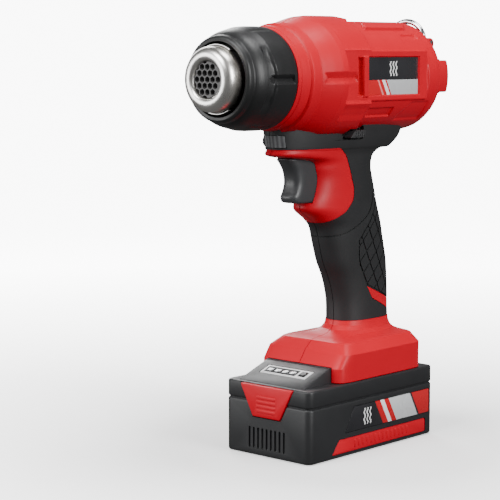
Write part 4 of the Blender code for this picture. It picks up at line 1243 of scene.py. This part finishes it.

# %% [markdown]
# ## Springs
# The trigger and the pack's release button are held out by coils. A coil's fixed end stays while the
# other end is pressed; here each coil is a copy of the frame's own and rides whole with one body.

# %% Springs


def pressed_spring(name, node, body, slot):
    """A copy of the frame's coil, riding with one body."""
    work = bmesh.new()
    work.from_mesh(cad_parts[node].data)
    coil = finish_mesh(name, close_mesh(work, name), plain_steel, 40.0)
    placed(coil, body, slot, node)
    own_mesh(coil)


pressed_spring("trigger_coil", "trigger_spring", "tool", "steel")
pressed_spring("latch_coil", "latch_spring", "battery", "steel")

# %% [markdown]
# ## Screws
# Four screws join the shells, set deep in dark wells on the right side. A head is a turned dome with
# a six-lobed socket taken out of it. The places are (y, z, distance from the middle plane).

# %% Screws and wells
LOBES = 6
SCREWS = ((-52.0, 219.5, 16.4), (48.0, 221.7, 16.4), (22.3, 170.7, 12.9), (32.0, 106.2, 12.6))


def screw_head():
    """Pan head with a six-lobed socket, facing -X."""
    dome = [(0.02, 0.0), (1.9, 0.0), (2.7, 0.4), (3.0, 1.1), (3.0, 3.0), (0.02, 3.0)]
    head = turned("head", dome, spare_material(), 48, (0.0, 0.0))
    around = np.linspace(0, 2 * math.pi, 48, endpoint=False)
    radius = 1.25 + 0.22 * np.cos(LOBES * around)
    socket = prism("socket", list(zip(radius * np.cos(around), radius * np.sin(around))), (-2.0, 1.4))
    socket.data.transform(Matrix.Rotation(math.pi / 2, 4, "Z"))
    cut(head, socket)
    head.data.transform(Matrix.Rotation(-math.pi / 2, 4, "Z"))
    return head


for i, (y, z, reach) in enumerate(SCREWS):
    screw = tiles(f"screw_{i + 1}", screw_head(), 1, 1, (1, 1), plain_steel, at=(-reach, y, z))
    placed(screw, "tool", "steel", f"housing_screw_{i + 1}")
    wall = [(3.1, -reach - 0.1), (3.1, -reach + 6), (4.3, -reach + 6), (4.3, -reach - 0.1)]
    well = turned(f"screw_well_{i + 1}", wall, dark_pit, 40, (0.0, 0.0))
    well.data.transform(Matrix.Translation((0, y * MM, z * MM)) @ Matrix.Rotation(-math.pi / 2, 4, "Z"))
    placed(well, "tool", "black_plastic")

# %% [markdown]
# ## Foot
# The foot is a loft with nearly square sections that widens in straight steps: handle root,
# sloping shoulders, a crisp edge, and upright sides that reach down over the pack. A channel from
# below takes the pack's tower, and each side wall is one half of the housing.

# %% Foot
FOOT = [(51.4, -35.6, 59.1, 37.6, 11, 12), (51.9, -36.0, 59.5, 38.0, 11, 12),
        (61.5, -36.0, 59.5, 38.0, 11, 12), (70.4, -29.6, 59.5, 38.0, 11, 12),
        (71.0, -29.1, 59.3, 37.5, 11, 12), (77.1, -22.2, 57.6, 31.2, 10, 11),
        (77.7, -20.6, 57.2, 29.9, 9, 10), (78.5, -12.0, 56.6, 24.0, 5, 6), (79.8, -5.5, 55.8, 20.2, 3.5, 4),
        (82.0, -0.8, 55.0, 18.0, 2.9, 3.3), (85.0, 1.4, 54.6, 16.9, 2.6, 3.0),
        (88.3, 2.0, 54.3, 16.5, 2.5, 2.9)]


def make_foot(side):
    foot = loft("foot", FOOT, count=160, material=red_plastic, smooth=False, sharp=16.0)
    channel = cutter("channel", (-29.8, -60, 30), (29.8, 80, 62.4))
    bolts = cutter("foot_hollow", (-10.0, 14.0, 60.0), (10.0, 44.0, 96.0))
    cut(foot, channel, bolts)
    trim(foot, half_space(side))
    foot.data.set_sharp_from_angle(angle=math.radians(17))
    foot.name = side + "_foot"
    return foot


for side in ("left", "right"):
    placed(make_foot(side), "tool", "red_plastic", side + "_housing")

# %% [markdown]
# ## Battery pack
# The pack is two rounded shells with a shadow gap between them. The upper one carries the slope
# with the charge gauge, the lower one a slanted label band and a ribbed strip on each side. The
# release button sits in the front with clearance all round, because it moves inwards.

# %% Pack shells


def rounded_box(name, low, high, upright, edge, material=None):
    """A box whose upright edges have one radius and whose level edges have another."""
    work = bmesh.new()
    bmesh.ops.create_cube(work, size=1.0)
    bmesh.ops.scale(work, vec=(Vector(high) - Vector(low)) * MM, verts=work.verts)
    bmesh.ops.translate(work, vec=(Vector(high) + Vector(low)) / 2 * MM, verts=work.verts)
    standing = [e for e in work.edges if abs(e.verts[0].co.z - e.verts[1].co.z) > 1e-5]
    bmesh.ops.bevel(work, geom=standing, offset=upright * MM, segments=6, profile=0.5, affect="EDGES")
    level = [e for e in work.edges if len(e.link_faces) == 2 and e.calc_face_angle(0) > 1.0]
    bmesh.ops.bevel(work, geom=level, offset=edge * MM, segments=3, profile=0.5, affect="EDGES")
    return finish_mesh(name, close_mesh(work, name), material or spare_material())


LATCH = [(-24.4, 50.2), (24.4, 50.2), (12.6, 27.6), (-12.6, 27.6)]


def front_prism(name, outline, y_range, material=None, bevel=0.0):
    """An (x, z) outline given a thickness along Y."""
    piece = prism(name, outline, y_range, material, bevel)
    swap = Matrix(((0, 1, 0, 0), (1, 0, 0, 0), (0, 0, 1, 0), (0, 0, 0, 1)))
    piece.data.transform(swap)
    piece.data.flip_normals()
    return piece


def latch_space():
    """The opening for the release button and its flange, with clearance all round."""
    wider = [(x * 1.03, z + (0.6 if z > 40 else -0.6)) for x, z in LATCH]
    space = front_prism("latch_space", wider, (-90, -60.6))
    flange = cutter("flange_space", (-23.4, -67.8, 24.4), (23.4, -59.6, 50.4))
    return join(space, flange)


BAND_RECESS = [(-31.5, 16.4), (66.2, 16.4), (66.2, 34.4), (-22.0, 34.4)]
STRIP_RECESS = [(-46.0, 2.4), (61.8, 2.4), (61.8, 13.0), (-38.0, 13.0)]
lower = rounded_box("pack_lower", (-39, -70, 0), (39, 71, 38.5), 5.0, 1.6, pack_plastic)
join(lower, rounded_box("lip", (-38.0, -69.0, 30), (38.0, 70.0, 41.0), 4.2, 0.2))
cut(lower, rounded_box("lower_hollow", (-36.6, -67.6, 2.4), (36.6, 68.6, 60), 3.0, 0.2), latch_space())
for sign in (1, -1):
    low, high = sorted((38.1 * sign, 45.0 * sign))
    for outline, radius in ((BAND_RECESS, 1.0), (STRIP_RECESS, 1.5)):
        cut(lower, prism("recess", rounded_outline(outline, radius, 3), (low, high)))
fins = tiles("front_slots", cutter("fin", (-0.9, -3, -7.5), (0.9, 3, 7.5), 0.7, 3), 9, 1, (4.0, 1.0),
             spare_material(), at=(0, -71.6, 12.5))
cut(lower, fins)
placed(lower, "battery", "pack_plastic", "battery_lower_shell")

# %% [markdown]
# ## Upper shell
# The upper shell carries the tower that slides into the foot, and in front of it the slope with the
# charge gauge. Two thin slots at the rear take the tool's contact blades.

# %% Upper shell with tower and slope
upper = rounded_box("pack_upper", (-39, -70, 38.9), (39, 71, 51.1), 5.0, 1.4, pack_plastic)
TOWER_X = (-29.4, 29.4)
SLOPE = [(-66.5, 45.0), (-36.4, 45.0), (-36.4, 61.6), (-38.0, 61.6), (-66.5, 51.3)]
slope = prism("slope", SLOPE, TOWER_X, None, 0.8)
tower = prism("tower", [(-37.5, 45.0), (56.0, 45.0), (56.0, 62.0), (-37.5, 62.0)], TOWER_X)
join(upper, slope)
join(upper, tower)
cut(upper, rounded_box("upper_hollow", (-36.8, -67.8, 30), (36.8, 68.8, 48.6), 3.2, 0.2),
    rounded_box("lip_space", (-38.2, -69.2, 30), (38.2, 70.2, 41.2), 4.4, 0.2),
    cutter("tower_hollow", (-25.5, -45.0, 40.0), (25.5, 53.0, 53.4)),
    cutter("groove_a", (26.2, -20, 51.9), (60, 70, 55.5)),
    cutter("groove_b", (-60, -20, 51.9), (-26.2, 70, 55.5)), latch_space())
for x in (-8.0, 8.0):
    cut(upper, cutter("contact_slot", (x - 1.3, 29, 50), (x + 1.3, 80, 80)))

SLOPE_TURN = math.atan2(61.6 - 51.3, 66.5 - 38.0)
SLOPE_PLACE = Matrix.Translation(Vector((0, -49.0, 57.35)) * MM) @ Matrix.Rotation(SLOPE_TURN, 4, "X")


def on_slope(obj):
    obj.data.transform(SLOPE_PLACE)
    return obj


cut(upper, on_slope(cutter("gauge_pocket", (-21.3, -5.8, -1.5), (21.3, 5.8, 6))),
    on_slope(cutter("gauge_well", (12.0, -3.5, -5), (19.0, 3.5, 6))))
placed(upper, "battery", "pack_plastic", "battery_upper_shell")

# %% [markdown]
# ## Charge gauge
# A pale frame lies in a pocket on the slope, with four clear lights in its window and a round
# button beside them. They are drawn flat at the origin, and one matrix puts all on the slope.

# %% Gauge, lights and button
pale_plastic = moulded("pale_plastic", (0.50, 0.50, 0.50), (0.62, 0.62, 0.62), 0.35)
gauge = on_slope(block("gauge", (-21.0, -5.5, -1.2), (21.0, 5.5, 0.4), pale_plastic, 0.7))
cut(gauge, on_slope(cutter("window", (-19.0, -3.9, -0.1), (10.4, 3.9, 2))),
    on_slope(cutter("well", (12.1, -3.4, -9), (18.9, 3.4, 9))))
placed(gauge, "battery", "clear_lens", "gauge_panel")
bed = on_slope(block("gauge_bed", (-19.0, -3.9, -0.6), (10.4, 3.9, 0.0), dark_pit, 0.1, 1))
placed(bed, "battery", "black_plastic")
lights = tiles("gauge_lights", cutter("light", (-2.6, -2.0, 0.0), (2.6, 2.0, 0.4), 0.35, 3), 4, 1,
               (6.9, 1.0), clear_lens, at=(-4.3, 0, 0.0))
placed(on_slope(lights), "battery", "clear_lens")
KNOB = [(0.02, 1.2), (2.2, 1.2), (2.9, 0.7), (2.95, -3.2), (0.02, -3.2)]
knob = turned("gauge_knob", KNOB, black_plastic, 48, (0.0, 0.0))
knob.data.transform(Matrix.Translation((15.5 * MM, 0, 0)) @ Matrix.Rotation(math.pi / 2, 4, "X"))
placed(on_slope(knob), "gauge_button", "black_plastic", "gauge_button")

# %% [markdown]
# ## Release button
# The button is a trapezoid with four ribs for the thumb, on a wider flange that stays behind the
# shell's wall and stops it from falling out.

# %% Release button
latch = front_prism("release_button", LATCH, (-71.2, -65.0), red_plastic, 1.2)
ribs = tiles("latch_ribs", cutter("rib", (-9.0, -1.2, -0.6), (9.0, 1.2, 0.6), 0.5, 3), 1, 4, (1, 3.2),
             spare_material(), turn=FACE_FRONT, at=(0, -70.9, 37.0))
join(latch, ribs)
join(latch, block("latch_flange", (-23.0, -67.4, 25.0), (23.0, -64.0, 50.0), red_plastic, 0.3))
placed(latch, "latch", "red_plastic", "latch_button")

# %% [markdown]
# ## Pack labels and strips
# Each side carries a slanted printed band, made like the housing's labels, and under it a red strip
# with fourteen ribs from the tile tree.

# %% Bands and ribbed strips
DEEP_RED, NEAR_WHITE, SILVER = (0.50, 0.005, 0.010), (0.82, 0.82, 0.82), (0.55, 0.56, 0.57)
BARS = ((0.44, 0.60, DEEP_RED), (0.50, 0.545, NEAR_WHITE), (0.60, 0.86, SILVER), (0.88, 1.20, DEEP_RED))
BAND = [(-31.0, 16.8), (65.8, 16.8), (65.8, 34.0), (-21.6, 34.0)]
STRIP = [(-45.6, 2.8), (61.4, 2.8), (61.4, 12.6), (-37.6, 12.6)]
for side, sign in (("left", 1), ("right", -1)):
    print_here = print_finish(side + "_pack_print", sign, (-31.0, 65.8), (16.8, 34.0), -0.2, BARS)
    sticker = prism(side + "_pack_label", rounded_outline(BAND, 0.8, 3), sorted((38.0 * sign, 38.95 * sign)),
                    print_here, 0.2)
    placed(sticker, "battery", "label_print", side + "_battery_label")
    strip = prism(side + "_strip", rounded_outline(STRIP, 1.4, 3), sorted((37.6 * sign, 38.8 * sign)),
                  red_plastic, 0.3)
    bump = cutter("bump", (-0.5, -1.1, -2.9), (0.5, 1.1, 2.9), 0.45, 3)
    join(strip, tiles("strip_bumps", bump, 1, 14, (1, 4.6), spare_material(), at=(38.7 * sign, 10.0, 7.8)))
    placed(strip, "battery", "red_plastic", side + "_battery_strip")

# %% [markdown]
# ## Floor and backdrop
# The floor runs up into a wall in one curve all the way round, so there is no horizon line from any
# side. It glows a little, more so further out, which keeps it near white. It is hidden from diffuse
# and glossy rays, because a white floor would fill the tool's dark underside with light.

# %% Stage
FLOOR_R, CURVE_R, WALL_TOP = 2400.0, 1000.0, 4000.0
GLOW_START, GLOW_WIDTH, GLOW_STRENGTH = 120.0, 900.0, 9.0


def make_stage():
    paper = Finish("paper", 0.85)
    grain = paper.noise(0.02, 2.0)
    paper.set(Base_Color=paper.mix(grain, (0.80, 0.80, 0.80), (0.84, 0.84, 0.84)))
    radius = (paper.x * paper.x + paper.y * paper.y).maths("SQRT")
    glow = ((radius - GLOW_START) / GLOW_WIDTH).maths("MAXIMUM", 0.0).maths("MINIMUM", 1.0)
    paper.set(Emission_Color=paper.mix(glow, (0.07, 0.07, 0.07), (1.0, 1.0, 1.0)))
    paper.shader.inputs["Emission Strength"].default_value = GLOW_STRENGTH
    curve = [(FLOOR_R + CURVE_R * math.sin(a), CURVE_R - CURVE_R * math.cos(a))
             for a in np.linspace(0.1, math.pi / 2, 16)]
    profile = np.array([(0.05, 0.0), (FLOOR_R, 0.0), *curve, (FLOOR_R + CURVE_R, WALL_TOP)])
    turn, r = np.meshgrid(np.linspace(0, 2 * math.pi, 96, endpoint=False), profile[:, 0])
    z = np.repeat(profile[:, 1:], 96, axis=1)
    points = np.stack([r * np.cos(turn), r * np.sin(turn), z - 0.4], axis=-1)
    backdrop = finish_mesh("backdrop", grid_mesh("backdrop", points, wrap_columns=True), paper.material, 80.0)
    backdrop.visible_diffuse = False
    backdrop.visible_glossy = False


make_stage()
print("stage", 2 * (FLOOR_R + CURVE_R) * MM, "m across")

# %% [markdown]
# ## Lamps
# Large soft lamps stand round the tool: one in front above, one low in front for the steel, one at
# the side, one on top and a weaker one behind that draws the rear edges. A faint world light keeps
# the darkest places readable.

# %% Lamps and world


def lamp(name, place, target, size, power):
    light = bpy.data.lights.new(name, "AREA")
    light.shape = "RECTANGLE"
    light.size, light.size_y = size
    light.energy = power
    obj = bpy.data.objects.new(name, light)
    obj.location = place
    obj.rotation_euler = (Vector(target) - Vector(place)).to_track_quat("-Z", "Y").to_euler()
    bpy.context.scene.collection.objects.link(obj)
    print(name, power, "W")


lamp("key", (-0.1, -1.3, 1.35), (0, 0, 0.2), (0.8, 0.6), 32.0)
lamp("side", (1.45, -0.05, 0.7), (0, 0, 0.2), (0.5, 0.9), 29.0)
lamp("top", (0.25, 0.2, 1.5), (0, 0, 0.25), (0.6, 0.6), 15.0)
lamp("rim", (-0.95, 0.6, 0.75), (0, 0, 0.2), (0.4, 0.8), 9.0)
lamp("front", (-1.0, -1.5, 0.45), (0, 0, 0.2), (1.2, 1.0), 24.0)
world = bpy.data.worlds.new("studio")
world.use_nodes = True
world.node_tree.nodes["Background"].inputs["Color"].default_value = (1.0, 1.0, 1.0, 1.0)
world.node_tree.nodes["Background"].inputs["Strength"].default_value = 0.16
bpy.context.scene.world = world

# %% [markdown]
# ## Camera
# A long lens stands at the tool's left front and looks a little down, 42 degrees round from the
# nozzle's direction.

# %% Camera
AZIMUTH, ELEVATION = math.radians(42.39), math.radians(6.76)
LENS = 122.47
CAMERA_PLACE = (0.77386, -0.93495, 0.28317)
camera_data = bpy.data.cameras.new("camera")
camera_data.lens = LENS
camera_data.sensor_width = 36.0
camera_data.clip_start = 0.05
camera = bpy.data.objects.new("camera", camera_data)
camera.location = CAMERA_PLACE
look = Vector((-math.sin(AZIMUTH) * math.cos(ELEVATION), math.cos(AZIMUTH) * math.cos(ELEVATION),
               -math.sin(ELEVATION)))
camera.rotation_euler = look.to_track_quat("-Z", "Y").to_euler()
bpy.context.scene.collection.objects.link(camera)
bpy.context.scene.camera = camera
print("camera", [round(v, 3) for v in camera.location])
